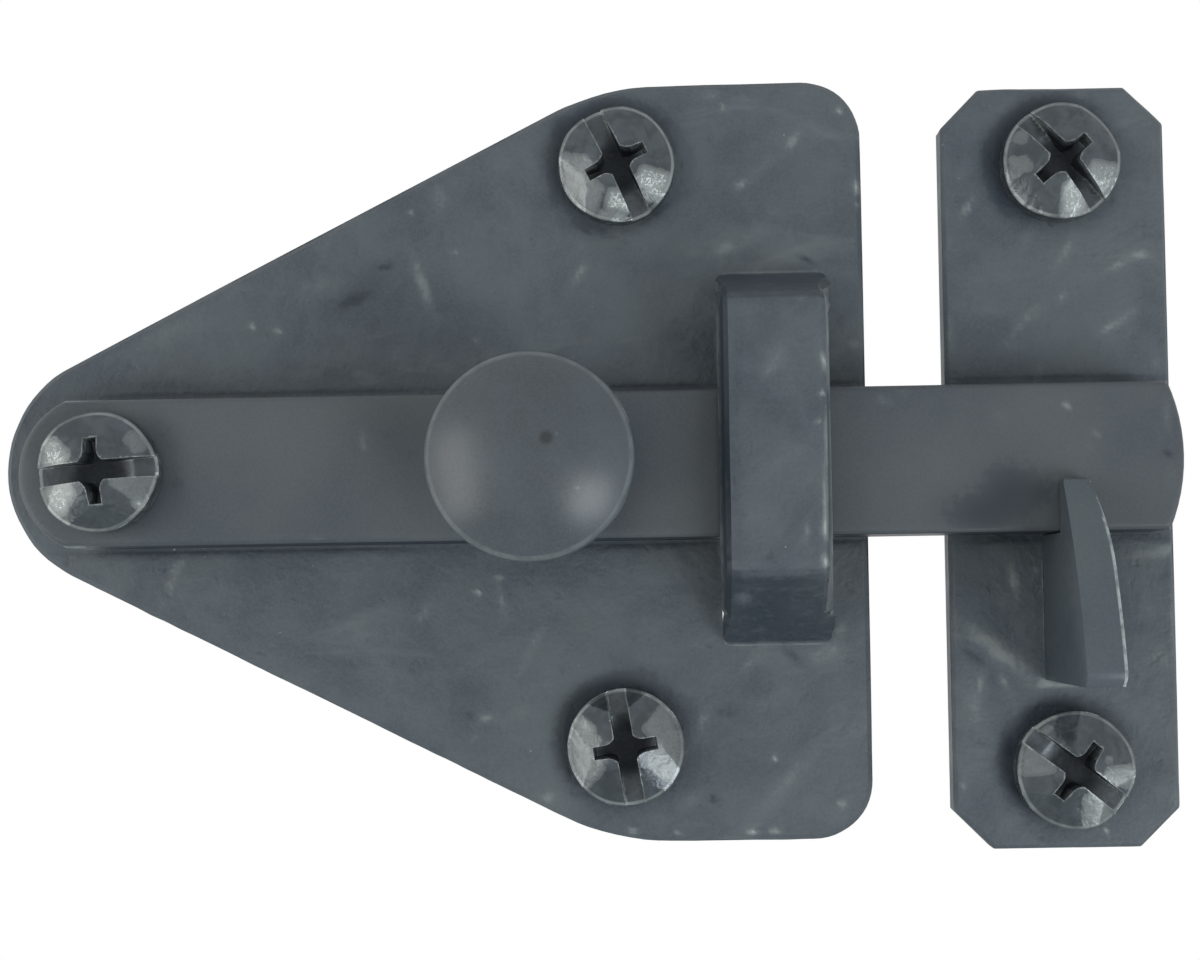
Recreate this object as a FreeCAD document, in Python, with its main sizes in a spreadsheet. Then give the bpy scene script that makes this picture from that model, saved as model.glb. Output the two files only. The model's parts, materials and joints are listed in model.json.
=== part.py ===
import FreeCAD, Part
import math
import os

import Sketcher

# Cabinet latch: an arrowhead backplate with a lifting bar, and a strike plate with a ramped catch.
# Frame: origin on the bar's pivot in the mounting plane, +X towards the strike, +Z up.
# The backs of both plates lie in the plane Y = 0 and their fronts face -Y. Millimetres and degrees.

SIZES = {
    # backplate, an arrowhead pressed from sheet
    "plate_thick": 2.0,
    "plate_edge_break": 0.4,
    "axis_rise": 0.6,
    "tip_setback": 0.25,
    "tip_radius": 8.0,
    "slope_angle": 26.75,
    "half_height": 25.4,
    "shoulder_radius": 16.0,
    "rear_reach": 49.65,
    "corner_radius": 4.0,
    "plate_screw_setback": 16.4,
    "plate_screw_inset_high": 5.75,
    "plate_screw_inset_low": 6.45,
    # guide bridge, lanced out of the backplate in one piece with it
    "bridge_setback": 6.2,
    "bridge_width": 7.25,
    "bridge_neck_width": 6.45,
    "bridge_leg_room": 7.7,
    "bridge_leg_spread_high": 2.6,
    "bridge_leg_spread_low": 4.8,
    "bar_headroom": 0.8,
    "bridge_thick": 1.8,
    "bridge_bend": 1.3,
    "bridge_inner_bend": 0.5,
    "bridge_edge_break": 0.3,
    "root_corner": 0.75,
    "neck_margin": 1.25,
    "neck_run": 1.3,
    # latch bar
    "bar_gap": 0.1,
    "bar_width": 9.5,
    "bar_thick": 4.8,
    "bar_tail": 5.6,
    "bar_tail_shoulder": 0.45,
    "bar_past_catch": 6.85,
    "bar_tip_radius": 12.0,
    "bar_edge_break": 0.25,
    # knob, turned and riveted through the bar
    "knob_reach": 28.0,
    "knob_diameter": 12.7,
    "knob_stand": 6.7,
    "knob_rim": 0.7,
    "knob_rim_break": 0.3,
    "knob_dome": 2.3,
    "knob_neck_radius": 3.2,
    "knob_neck_length": 3.2,
    "tenon_radius": 2.0,
    "rivet_flare": 0.6,
    "seat_play": 0.01,
    # strike plate
    "plates_apart": 5.2,
    "strike_drop": 0.8,
    "strike_width": 15.0,
    "strike_height": 50.8,
    "strike_chamfer": 2.6,
    "strike_edge_break": 0.3,
    "strike_screw_inset": 5.35,
    "strike_screw_shift": 0.3,
    # catch, a ramped tooth on edge, tenoned through the strike plate
    "catch_thick": 2.5,
    "catch_bottom": 14.2,
    "catch_reach": 11.6,
    "catch_ramp_radius": 35.0,
    "catch_toe_round": 0.9,
    "nose_lap": 3.3,
    "nose_play": 0.25,
    "nose_thick": 1.0,
    "nose_round": 0.35,
    "catch_rest": 0.1,
    "catch_tenon_length": 6.5,
    "catch_tenon_rise": 1.4,
    # screws, faceted heads with a slot and a cross
    "head_radius": 3.85,
    "head_height": 2.5,
    "head_rim": 1.45,
    "facet_rim": 1.0,
    "facet_crown": 0.9,
    "facet_sweep": 7.0,
    "slot_width": 1.25,
    "slot_floor": 0.75,
    "cross_reach": 2.15,
    "cross_width": 0.9,
    "cross_round": 0.85,
    "cross_depth": 1.75,
    "cross_taper": 5.0,
    "screw_neck_radius": 1.85,
    "screw_core_radius": 1.45,
    "screw_point": 4.5,
    "screw_length": 19.0,
    "pivot_screw_length": 25.4,
    "neck_past_plate": 0.6,
    "pivot_play": 0.07,
    "pivot_end_play": 0.1,
    "screw_hole_play": 0.35,
}

# Sizes that follow from the ones above, worked out in the same sheet.
WORKED_OUT = {
    "zero": "0 * plate_thick",
    "tip_centre": "-tip_setback",
    "plate_hole_radius": "screw_neck_radius + screw_hole_play",
    "plate_screw_reach": "rear_reach - plate_screw_setback",
    "plate_screw_high": "axis_rise + half_height - plate_screw_inset_high",
    "plate_screw_low": "axis_rise - half_height + plate_screw_inset_low",
    "bridge_reach": "rear_reach - bridge_setback",
    "bridge_length": "bar_width + 2 * bridge_leg_room",
    "bridge_height": "bar_gap + bar_thick + bar_headroom + bridge_thick",
    "lean_high": "bridge_leg_spread_high / bridge_height",
    "lean_low": "bridge_leg_spread_low / bridge_height",
    "leg_skin_high": "bridge_thick * sqrt(1 + lean_high * lean_high)",
    "leg_skin_low": "bridge_thick * sqrt(1 + lean_low * lean_low)",
    "bridge_front": "plate_thick + bridge_height",
    "bridge_roof": "bridge_front - bridge_thick",
    "root_high": "axis_rise + bridge_length / 2",
    "root_low": "axis_rise - bridge_length / 2",
    "root_corner_high": "root_high - root_corner",
    "root_corner_low": "root_low + root_corner",
    "grip_high": "root_high + bridge_thick",
    "grip_low": "root_low - bridge_thick",
    "shelf_high": "root_high - bridge_leg_spread_high",
    "shelf_low": "root_low + bridge_leg_spread_low",
    "roof_high": "root_high - lean_high * (bridge_height - bridge_thick) - leg_skin_high",
    "roof_low": "root_low + lean_low * (bridge_height - bridge_thick) + leg_skin_low",
    "mouth_high": "root_high + lean_high * plate_thick - leg_skin_high",
    "mouth_low": "root_low - lean_low * plate_thick + leg_skin_low",
    "neck_end": "bridge_length / 2 - neck_margin",
    "neck_start": "neck_end - neck_run",
    "neck_end_high": "axis_rise + neck_end",
    "neck_end_low": "axis_rise - neck_end",
    "neck_start_high": "axis_rise + neck_start",
    "neck_start_low": "axis_rise - neck_start",
    "neck_draw": "(bridge_width - bridge_neck_width) / 2",
    "neck_sweep_radius": "(neck_run * neck_run + neck_draw * neck_draw) / (2 * neck_draw)",
    "side_left": "bridge_reach - bridge_width / 2",
    "side_right": "bridge_reach + bridge_width / 2",
    "side_left_in": "side_left + root_corner",
    "side_right_in": "side_right - root_corner",
    "waist_left": "bridge_reach - bridge_neck_width / 2",
    "waist_right": "bridge_reach + bridge_neck_width / 2",
    "bar_half": "bar_width / 2",
    "bar_tail_radius": "bar_half + bar_tail_shoulder",
    "bar_tail_centre": "bar_tail_radius - bar_tail",
    "bar_back": "plate_thick + bar_gap",
    "bar_front": "bar_back + bar_thick",
    "pivot_hole_radius": "screw_neck_radius + pivot_play",
    "knob_radius": "knob_diameter / 2",
    "knob_rim_front": "knob_stand + knob_rim",
    "knob_top": "knob_rim_front + knob_dome",
    "rivet_radius": "tenon_radius + rivet_flare",
    "rivet_start": "bar_thick - rivet_flare",
    "tenon_hole_radius": "tenon_radius + seat_play",
    "strike_centre": "rear_reach + plates_apart + strike_width / 2",
    "bar_tip_centre": "strike_centre + bar_past_catch - bar_tip_radius",
    "strike_level": "axis_rise - strike_drop",
    "strike_half_width": "strike_width / 2",
    "strike_half_height": "strike_height / 2",
    "strike_screw_reach": "strike_centre + strike_screw_shift",
    "strike_screw_half": "strike_half_height - strike_screw_inset",
    "strike_screw_high": "strike_level + strike_screw_half",
    "strike_screw_low": "strike_level - strike_screw_half",
    "catch_floor": "-bar_half - catch_rest - strike_level",
    "nose_top": "catch_floor + catch_rest + nose_lap",
    "nose_inside": "bar_gap + bar_thick + nose_play",
    "nose_front": "nose_inside + nose_thick",
    "tenon_low": "catch_tenon_rise - catch_bottom",
    "tenon_high": "tenon_low + catch_tenon_length",
    "tenon_slot_low": "tenon_low - seat_play",
    "tenon_slot_high": "tenon_high + seat_play",
    "tenon_slot_half": "catch_thick / 2 + seat_play",
    "head_clear": "head_radius + 1",
    "above_head": "head_height + 1",
    "slot_half": "slot_width / 2",
    "cross_half": "cross_width / 2",
    "neck_long": "plate_thick + neck_past_plate",
    "pivot_seat": "bar_front + pivot_end_play",
    "pivot_neck_long": "pivot_seat + neck_past_plate",
}

# Direction of each screw's slot, counter-clockwise from level as seen from the front.
SLOT_ANGLES = {
    "pivot_screw": 5.0,
    "plate_screw_top": 115.0,
    "plate_screw_bottom": 99.5,
    "strike_screw_top": 129.0,
    "strike_screw_bottom": 142.0,
}

CLOSE = 1e-4

doc = FreeCAD.newDocument("cabinet_latch")
sheet = doc.addObject("Spreadsheet::Sheet", "sizes")


def fill_sheet():
    """Write the driving sizes as plain numbers, then the worked-out ones as formulas."""
    rows = {alias: str(value) for alias, value in SIZES.items()}
    rows.update({alias: "=" + formula for alias, formula in WORKED_OUT.items()})
    for row, (alias, text) in enumerate(rows.items(), start=1):
        sheet.set(f"A{row}", alias)
        sheet.set(f"B{row}", text)
        sheet.setAlias(f"B{row}", alias)
    doc.recompute()


def number(alias):
    """The sheet's value of an alias, negative where the alias has a minus sign before it."""
    if alias.startswith("-"):
        return -float(sheet.get(alias[1:]))
    return float(sheet.get(alias))


def term(alias):
    """The expression that reads an alias from the sheet."""
    if alias.startswith("-"):
        return "-sizes." + alias[1:]
    return "sizes." + alias


def vector(across, up):
    return FreeCAD.Vector(across, up, 0)


def origin_part(body, role):
    """One of the body's own origin planes or axes, found by its role."""
    return next(part for part in body.Origin.OriginFeatures if part.Role == role)


def new_body(label, across="zero", out="zero", up="zero"):
    """A body placed at the sheet's values: across along X, out along -Y and up along Z."""
    body = doc.addObject("PartDesign::Body", label)
    body.Label = label
    body.setExpression("Placement.Base.x", term(across))
    body.setExpression("Placement.Base.y", "-" + term(out))
    body.setExpression("Placement.Base.z", term(up))
    return body


def new_sketch(body, name, role):
    sketch = body.newObject("Sketcher::SketchObject", name)
    sketch.AttachmentSupport = [(origin_part(body, role), "")]
    sketch.MapMode = "FlatFace"
    return sketch


def bound(sketch, alias, kind, *references):
    """Add a dimension to a sketch and bind it to the sheet."""
    value = math.radians(number(alias)) if kind == "Angle" else number(alias)
    index = sketch.addConstraint(Sketcher.Constraint(kind, *references, value))
    unit = " * 1 deg" if kind == "Angle" else ""
    sketch.setExpression(f"Constraints[{index}]", term(alias) + unit)


def place_point(sketch, geometry, end, across, up):
    bound(sketch, across, "DistanceX", -1, 1, geometry, end)
    bound(sketch, up, "DistanceY", -1, 1, geometry, end)


def line(sketch, start, finish):
    return sketch.addGeometry(Part.LineSegment(vector(*start), vector(*finish)))


def arc(sketch, centre, radius, start_angle, end_angle):
    """A counter-clockwise arc, angles in degrees."""
    circle = Part.Circle(vector(*centre), FreeCAD.Vector(0, 0, 1), radius)
    angles = math.radians(start_angle), math.radians(end_angle)
    return sketch.addGeometry(Part.ArcOfCircle(circle, *angles))


def circle(sketch, across, up, radius):
    shape = Part.Circle(vector(number(across), number(up)), FreeCAD.Vector(0, 0, 1), number(radius))
    index = sketch.addGeometry(shape)
    place_point(sketch, index, 3, across, up)
    bound(sketch, radius, "Radius", index)


def polygon(sketch, corners):
    """A closed outline of straight lines through corners given as pairs of aliases."""
    points = [(number(across), number(up)) for across, up in corners]
    count = len(points)
    edges = [line(sketch, points[i], points[(i + 1) % count]) for i in range(count)]
    for i in range(count):
        sketch.addConstraint(Sketcher.Constraint("Coincident", edges[i], 2, edges[(i + 1) % count], 1))
        place_point(sketch, edges[i], 1, *corners[i])


def outline(sketch, pieces):
    """A closed outline of lines, as two corners, and arcs, as two corners, a radius and a side.

    Corners are pairs of aliases. The radius is an alias, or None for an arc centred on the first axis,
    and the side is +1 where the arc's centre lies left of the way from its start to its finish.
    """
    ends = []
    for start, finish, radius, side in pieces:
        a = vector(number(start[0]), number(start[1]))
        b = vector(number(finish[0]), number(finish[1]))
        if side == 0:
            index = sketch.addGeometry(Part.LineSegment(a, b))
            ends.append((index, 1, 2))
            place_point(sketch, index, 1, *start)
            continue
        chord = b - a
        left = vector(-chord.y, chord.x).normalize()
        middle = (a + b) * 0.5
        if radius is None:
            offset = -middle.y / left.y
        else:
            offset = side * math.sqrt(number(radius) ** 2 - chord.Length**2 / 4)
        centre = middle + left * offset
        first, last = (a, b) if side > 0 else (b, a)
        angles = [math.degrees(math.atan2(p.y - centre.y, p.x - centre.x)) for p in (first, last)]
        if angles[1] < angles[0]:
            angles[1] += 360
        index = arc(sketch, (centre.x, centre.y), (a - centre).Length, *angles)
        ends.append((index, 1, 2) if side > 0 else (index, 2, 1))
        place_point(sketch, index, ends[-1][1], *start)
        if radius is None:
            sketch.addConstraint(Sketcher.Constraint("PointOnObject", index, 3, -1))
        else:
            bound(sketch, radius, "Radius", index)
    for (one, _, tail), (other, head, _) in zip(ends, ends[1:] + ends[:1]):
        sketch.addConstraint(Sketcher.Constraint("Coincident", one, tail, other, head))


def pad(body, name, sketch, length):
    feature = body.newObject("PartDesign::Pad", name)
    feature.Profile = sketch
    feature.setExpression("Length", term(length))
    doc.recompute()
    return feature


def pad_both_ways(body, name, sketch, length):
    feature = body.newObject("PartDesign::Pad", name)
    feature.Profile = sketch
    feature.SideType = "Symmetric"
    feature.setExpression("Length", term(length))
    doc.recompute()
    return feature


def revolve(body, name, sketch):
    feature = body.newObject("PartDesign::Revolution", name)
    feature.Profile = sketch
    feature.ReferenceAxis = (sketch, ["H_Axis"])
    feature.Angle = 360
    doc.recompute()
    return feature


def cut_through(body, name, sketch):
    """Cut the sketch's outline right through the body, both ways from the sketch's plane."""
    before = body.Shape.Volume
    feature = body.newObject("PartDesign::Pocket", name)
    feature.Profile = sketch
    feature.Type = "ThroughAll"
    feature.SideType = "Symmetric"
    doc.recompute()
    if not body.Shape.Volume < before - CLOSE:
        raise RuntimeError(f"{name} cuts nothing")
    return feature


def edges_where(shape, test):
    """The names of a shape's edges whose ends and middle all pass the test."""
    names = []
    for index, edge in enumerate(shape.Edges, start=1):
        middle = edge.valueAt((edge.FirstParameter + edge.LastParameter) / 2)
        points = [vertex.Point for vertex in edge.Vertexes] + [middle]
        if all(test(point) for point in points):
            names.append(f"Edge{index}")
    return names


def dress(body, kind, name, base, test, prop, alias):
    """Fillet or chamfer the edges of a feature that pass the test."""
    names = edges_where(base.Shape, test)
    if not names:
        raise RuntimeError(f"{name} finds no edge")
    feature = body.newObject("PartDesign::" + kind, name)
    feature.Base = (base, names)
    feature.setExpression(prop, term(alias))
    doc.recompute()
    return feature


def near(value, target):
    return abs(value - target) < 1e-3


def arrowhead_outline(sketch):
    """The arrowhead: a round tip, two slopes tangent to it, rounded shoulders and rear corners."""
    tip = number("tip_centre"), number("axis_rise")
    radius = number("tip_radius")
    slope = number("slope_angle")
    half = number("half_height")
    shoulder = number("shoulder_radius")
    corner = number("corner_radius")
    rear = number("rear_reach")
    sine, cosine = math.sin(math.radians(slope)), math.cos(math.radians(slope))
    shoulder_x = tip[0] + ((half - shoulder) * cosine - (radius - shoulder)) / sine

    def slope_end(x, distance, side):
        return x - distance * sine, tip[1] + side * distance * cosine

    def shoulder_end(side):
        across = shoulder_x - shoulder * sine
        return across, tip[1] + side * (half - shoulder + shoulder * cosine)

    top, bottom = tip[1] + half, tip[1] - half
    tip_arc = arc(sketch, tip, radius, 90 + slope, 270 - slope)
    low_slope = line(sketch, slope_end(tip[0], radius, -1), shoulder_end(-1))
    low_shoulder = arc(sketch, (shoulder_x, bottom + shoulder), shoulder, 270 - slope, 270)
    low_edge = line(sketch, (shoulder_x, bottom), (rear - corner, bottom))
    low_corner = arc(sketch, (rear - corner, bottom + corner), corner, 270, 360)
    rear_edge = line(sketch, (rear, bottom + corner), (rear, top - corner))
    high_corner = arc(sketch, (rear - corner, top - corner), corner, 0, 90)
    high_edge = line(sketch, (rear - corner, top), (shoulder_x, top))
    high_shoulder = arc(sketch, (shoulder_x, top - shoulder), shoulder, 90, 90 + slope)
    high_slope = line(sketch, shoulder_end(1), slope_end(tip[0], radius, 1))
    loop = [tip_arc, low_slope, low_shoulder, low_edge, low_corner]
    loop += [rear_edge, high_corner, high_edge, high_shoulder, high_slope]
    for one, other in zip(loop, loop[1:] + loop[:1]):
        sketch.addConstraint(Sketcher.Constraint("Tangent", one, 2, other, 1))
    place_point(sketch, tip_arc, 3, "tip_centre", "axis_rise")
    bound(sketch, "tip_radius", "Radius", tip_arc)
    bound(sketch, "shoulder_radius", "Radius", low_shoulder)
    bound(sketch, "corner_radius", "Radius", low_corner)
    sketch.addConstraint(Sketcher.Constraint("Equal", low_shoulder, high_shoulder))
    sketch.addConstraint(Sketcher.Constraint("Equal", low_corner, high_corner))
    sketch.addConstraint(Sketcher.Constraint("Horizontal", low_edge))
    sketch.addConstraint(Sketcher.Constraint("Horizontal", high_edge))
    sketch.addConstraint(Sketcher.Constraint("Vertical", rear_edge))
    bound(sketch, "rear_reach", "DistanceX", -1, 1, rear_edge, 1)
    bound(sketch, "half_height", "DistanceY", low_edge, 1, tip_arc, 3)
    bound(sketch, "half_height", "DistanceY", tip_arc, 3, high_edge, 1)
    bound(sketch, "slope_angle", "Angle", -1, 1, high_slope, 2)
    bound(sketch, "slope_angle", "Angle", low_slope, 1, -1, 1)


def make_backplate():
    body = new_body("backplate")
    sketch = new_sketch(body, "plate_outline", "XZ_Plane")
    arrowhead_outline(sketch)
    plate = pad(body, "plate", sketch, "plate_thick")
    front = -number("plate_thick")
    dress(body, "Chamfer", "plate_edge", plate, lambda p: near(p.y, front), "Size", "plate_edge_break")

    # the window that is left in the sheet where the bridge was pushed out of it
    sketch = new_sketch(body, "window_outline", "XZ_Plane")
    corners = [("side_left", "root_low"), ("side_right", "root_low")]
    corners += [("side_right", "root_high"), ("side_left", "root_high")]
    polygon(sketch, corners)
    cut_through(body, "window", sketch)

    # the bridge seen from the side: two leaning legs and a flat, of one thickness
    sketch = new_sketch(body, "bridge_side", "YZ_Plane")
    sketch.setExpression("AttachmentOffset.Base.z", term("bridge_reach"))
    outer = [("zero", "grip_high"), ("-plate_thick", "grip_high"), ("-plate_thick", "root_high")]
    outer += [("-bridge_front", "shelf_high"), ("-bridge_front", "shelf_low")]
    outer += [("-plate_thick", "root_low"), ("-plate_thick", "grip_low"), ("zero", "grip_low")]
    inner = [("zero", "mouth_low"), ("-bridge_roof", "roof_low")]
    inner += [("-bridge_roof", "roof_high"), ("zero", "mouth_high")]
    polygon(sketch, outer + inner)
    bridge = pad_both_ways(body, "bridge", sketch, "bridge_width")

    front = -number("bridge_front")
    roof = -number("bridge_roof")
    shelves = number("shelf_high"), number("shelf_low")
    roofs = number("roof_high"), number("roof_low")
    bends = dress(
        body, "Fillet", "outer_bends", bridge,
        lambda p: near(p.y, front) and (near(p.z, shelves[0]) or near(p.z, shelves[1])),
        "Radius", "bridge_bend",
    )
    dress(
        body, "Fillet", "inner_bends", bends,
        lambda p: near(p.y, roof) and (near(p.z, roofs[0]) or near(p.z, roofs[1])),
        "Radius", "bridge_inner_bend",
    )

    # the strip drew in to a narrower waist when it was stretched
    sketch = new_sketch(body, "waist_sides", "XZ_Plane")
    for side, waist, bow in (("side_left", "waist_left", -1), ("side_right", "waist_right", 1)):
        low_end, low_start = (side, "neck_end_low"), (waist, "neck_start_low")
        high_end, high_start = (side, "neck_end_high"), (waist, "neck_start_high")
        pieces = [
            (low_end, low_start, "neck_sweep_radius", -bow),
            (low_start, high_start, None, 0),
            (high_start, high_end, "neck_sweep_radius", -bow),
            (high_end, low_end, None, 0),
        ]
        outline(sketch, pieces)
    cut_through(body, "waist", sketch)

    # the strip's roots have rounded corners above the sheet
    sketch = new_sketch(body, "root_corner_bits", "XZ_Plane")
    sketch.setExpression("AttachmentOffset.Base.z", term("plate_thick"))
    for side, side_in, hand in (("side_left", "side_left_in", -1), ("side_right", "side_right_in", 1)):
        for end, end_in, up in (("root_low", "root_corner_low", -1), ("root_high", "root_corner_high", 1)):
            pieces = [
                ((side_in, end), (side, end), None, 0),
                ((side, end), (side, end_in), None, 0),
                ((side, end_in), (side_in, end), "root_corner", hand * up),
            ]
            outline(sketch, pieces)
    before = body.Shape.Volume
    rounded = body.newObject("PartDesign::Pocket", "root_corners")
    rounded.Profile = sketch
    rounded.Type = "ThroughAll"
    rounded.Reversed = True
    doc.recompute()
    if not body.Shape.Volume < before - CLOSE:
        raise RuntimeError("root_corners cuts nothing")

    sides = number("waist_left"), number("waist_right")
    dress(
        body, "Chamfer", "bridge_edges", rounded,
        lambda p: near(p.y, front) and (near(p.x, sides[0]) or near(p.x, sides[1])),
        "Size", "bridge_edge_break",
    )

    sketch = new_sketch(body, "plate_holes", "XZ_Plane")
    circle(sketch, "zero", "zero", "plate_hole_radius")
    circle(sketch, "plate_screw_reach", "plate_screw_high", "plate_hole_radius")
    circle(sketch, "plate_screw_reach", "plate_screw_low", "plate_hole_radius")
    cut_through(body, "plate_screw_holes", sketch)
    return body


def make_latch_bar():
    body = new_body("latch_bar", out="bar_back")
    sketch = new_sketch(body, "bar_outline", "XZ_Plane")
    half = number("bar_half")
    ends = {}
    for name, side in (("tip", 1), ("tail", -1)):
        radius = number(f"bar_{name}_radius")
        centre = number(f"bar_{name}_centre")
        swing = math.degrees(math.asin(half / radius))
        middle = 0 if side > 0 else 180
        ends[name] = arc(sketch, (centre, 0), radius, middle - swing, middle + swing)
        sketch.addConstraint(Sketcher.Constraint("PointOnObject", ends[name], 3, -1))
        bound(sketch, f"bar_{name}_centre", "DistanceX", -1, 1, ends[name], 3)
        bound(sketch, f"bar_{name}_radius", "Radius", ends[name])
    corner = {name: sketch.getPoint(index, 1) for name, index in ends.items()}
    top = line(sketch, (corner["tip"].x, half), (corner["tail"].x, half))
    bottom = line(sketch, (corner["tail"].x, -half), (corner["tip"].x, -half))
    loop = [ends["tip"], top, ends["tail"], bottom]
    for one, other in zip(loop, loop[1:] + loop[:1]):
        sketch.addConstraint(Sketcher.Constraint("Coincident", one, 2, other, 1))
    sketch.addConstraint(Sketcher.Constraint("Horizontal", top))
    sketch.addConstraint(Sketcher.Constraint("Horizontal", bottom))
    bound(sketch, "bar_half", "DistanceY", -1, 1, top, 1)
    bound(sketch, "-bar_half", "DistanceY", -1, 1, bottom, 1)
    bar = pad(body, "bar", sketch, "bar_thick")
    front = -number("bar_thick")
    dress(
        body, "Chamfer", "bar_edges", bar,
        lambda p: near(p.y, front) or near(p.y, 0),
        "Size", "bar_edge_break",
    )

    sketch = new_sketch(body, "pivot_and_rivet_holes", "XZ_Plane")
    circle(sketch, "zero", "zero", "pivot_hole_radius")
    circle(sketch, "knob_reach", "zero", "tenon_hole_radius")
    holes = cut_through(body, "bar_holes", sketch)

    # the rivet hole is countersunk at the back, where the knob's tenon is spread into it
    knob_x = number("knob_reach")
    hole = number("tenon_hole_radius")
    dress(
        body, "Chamfer", "rivet_countersink", holes,
        lambda p: near(p.y, 0) and near(math.hypot(p.x - knob_x, p.z), hole),
        "Size", "rivet_flare",
    )
    return body


def make_knob():
    body = new_body("knob", across="knob_reach", out="bar_front")
    sketch = new_sketch(body, "knob_profile", "YZ_Plane")
    centre_back = ("bar_thick", "zero")
    rivet_back = ("bar_thick", "rivet_radius")
    rivet_front = ("rivet_start", "tenon_radius")
    tenon_foot = ("zero", "tenon_radius")
    neck_foot = ("zero", "knob_neck_radius")
    neck_top = ("-knob_neck_length", "knob_neck_radius")
    rim_back = ("-knob_stand", "knob_radius")
    rim_front = ("-knob_rim_front", "knob_radius")
    crown = ("-knob_top", "zero")
    pieces = [
        (centre_back, rivet_back, None, 0),
        (rivet_back, rivet_front, None, 0),
        (rivet_front, tenon_foot, None, 0),
        (tenon_foot, neck_foot, None, 0),
        (neck_foot, neck_top, None, 0),
        (neck_top, rim_back, None, 0),
        (rim_back, rim_front, None, 0),
        (rim_front, crown, None, 1),
        (crown, centre_back, None, 0),
    ]
    outline(sketch, pieces)
    turned = revolve(body, "turned_knob", sketch)
    rim = -number("knob_rim_front")
    dress(
        body, "Chamfer", "knob_rim_edge", turned,
        lambda p: near(p.y, rim) and p.z * p.z + p.x * p.x > 1,
        "Size", "knob_rim_break",
    )
    return body


def make_strike_plate():
    body = new_body("strike_plate", across="strike_centre", up="strike_level")
    sketch = new_sketch(body, "strike_outline", "XZ_Plane")
    corners = [("-strike_half_width", "-strike_half_height"), ("strike_half_width", "-strike_half_height")]
    corners += [("strike_half_width", "strike_half_height"), ("-strike_half_width", "strike_half_height")]
    polygon(sketch, corners)
    plate = pad(body, "strike", sketch, "plate_thick")
    wide, high = number("strike_half_width"), number("strike_half_height")
    clipped = dress(
        body, "Chamfer", "strike_corners", plate,
        lambda p: near(abs(p.x), wide) and near(abs(p.z), high),
        "Size", "strike_chamfer",
    )
    front = -number("plate_thick")
    dress(
        body, "Chamfer", "strike_edge", clipped,
        lambda p: near(p.y, front),
        "Size", "strike_edge_break",
    )
    sketch = new_sketch(body, "strike_holes", "XZ_Plane")
    circle(sketch, "strike_screw_shift", "strike_screw_half", "plate_hole_radius")
    circle(sketch, "strike_screw_shift", "-strike_screw_half", "plate_hole_radius")
    cut_through(body, "strike_screw_holes", sketch)
    sketch = new_sketch(body, "tenon_slot_outline", "XZ_Plane")
    corners = [("-tenon_slot_half", "tenon_slot_low"), ("tenon_slot_half", "tenon_slot_low")]
    corners += [("tenon_slot_half", "tenon_slot_high"), ("-tenon_slot_half", "tenon_slot_high")]
    polygon(sketch, corners)
    cut_through(body, "tenon_slot", sketch)
    return body


def make_catch():
    body = new_body("catch", across="strike_centre", out="plate_thick", up="strike_level")
    sketch = new_sketch(body, "catch_side", "YZ_Plane")
    floor_back = ("zero", "catch_floor")
    floor_front = ("-nose_inside", "catch_floor")
    nose_back = ("-nose_inside", "nose_top")
    nose_tip = ("-nose_front", "nose_top")
    toe = ("-catch_reach", "-catch_bottom")
    heel = ("zero", "-catch_bottom")
    tenon_foot = ("zero", "tenon_low")
    tenon_end = ("plate_thick", "tenon_low")
    tenon_top = ("plate_thick", "tenon_high")
    tenon_root = ("zero", "tenon_high")
    pieces = [
        (floor_back, floor_front, None, 0),
        (floor_front, nose_back, None, 0),
        (nose_back, nose_tip, None, 0),
        (nose_tip, toe, "catch_ramp_radius", 1),
        (toe, heel, None, 0),
        (heel, tenon_foot, None, 0),
        (tenon_foot, tenon_end, None, 0),
        (tenon_end, tenon_top, None, 0),
        (tenon_top, tenon_root, None, 0),
        (tenon_root, floor_back, None, 0),
    ]
    outline(sketch, pieces)
    tooth = pad_both_ways(body, "tooth", sketch, "catch_thick")
    reach, bottom = -number("catch_reach"), -number("catch_bottom")
    toe_edge = dress(
        body, "Fillet", "toe", tooth,
        lambda p: near(p.y, reach) and near(p.z, bottom),
        "Radius", "catch_toe_round",
    )
    top = number("nose_top")
    dress(
        body, "Fillet", "nose", toe_edge,
        lambda p: near(p.z, top),
        "Radius", "nose_round",
    )
    return body


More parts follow.
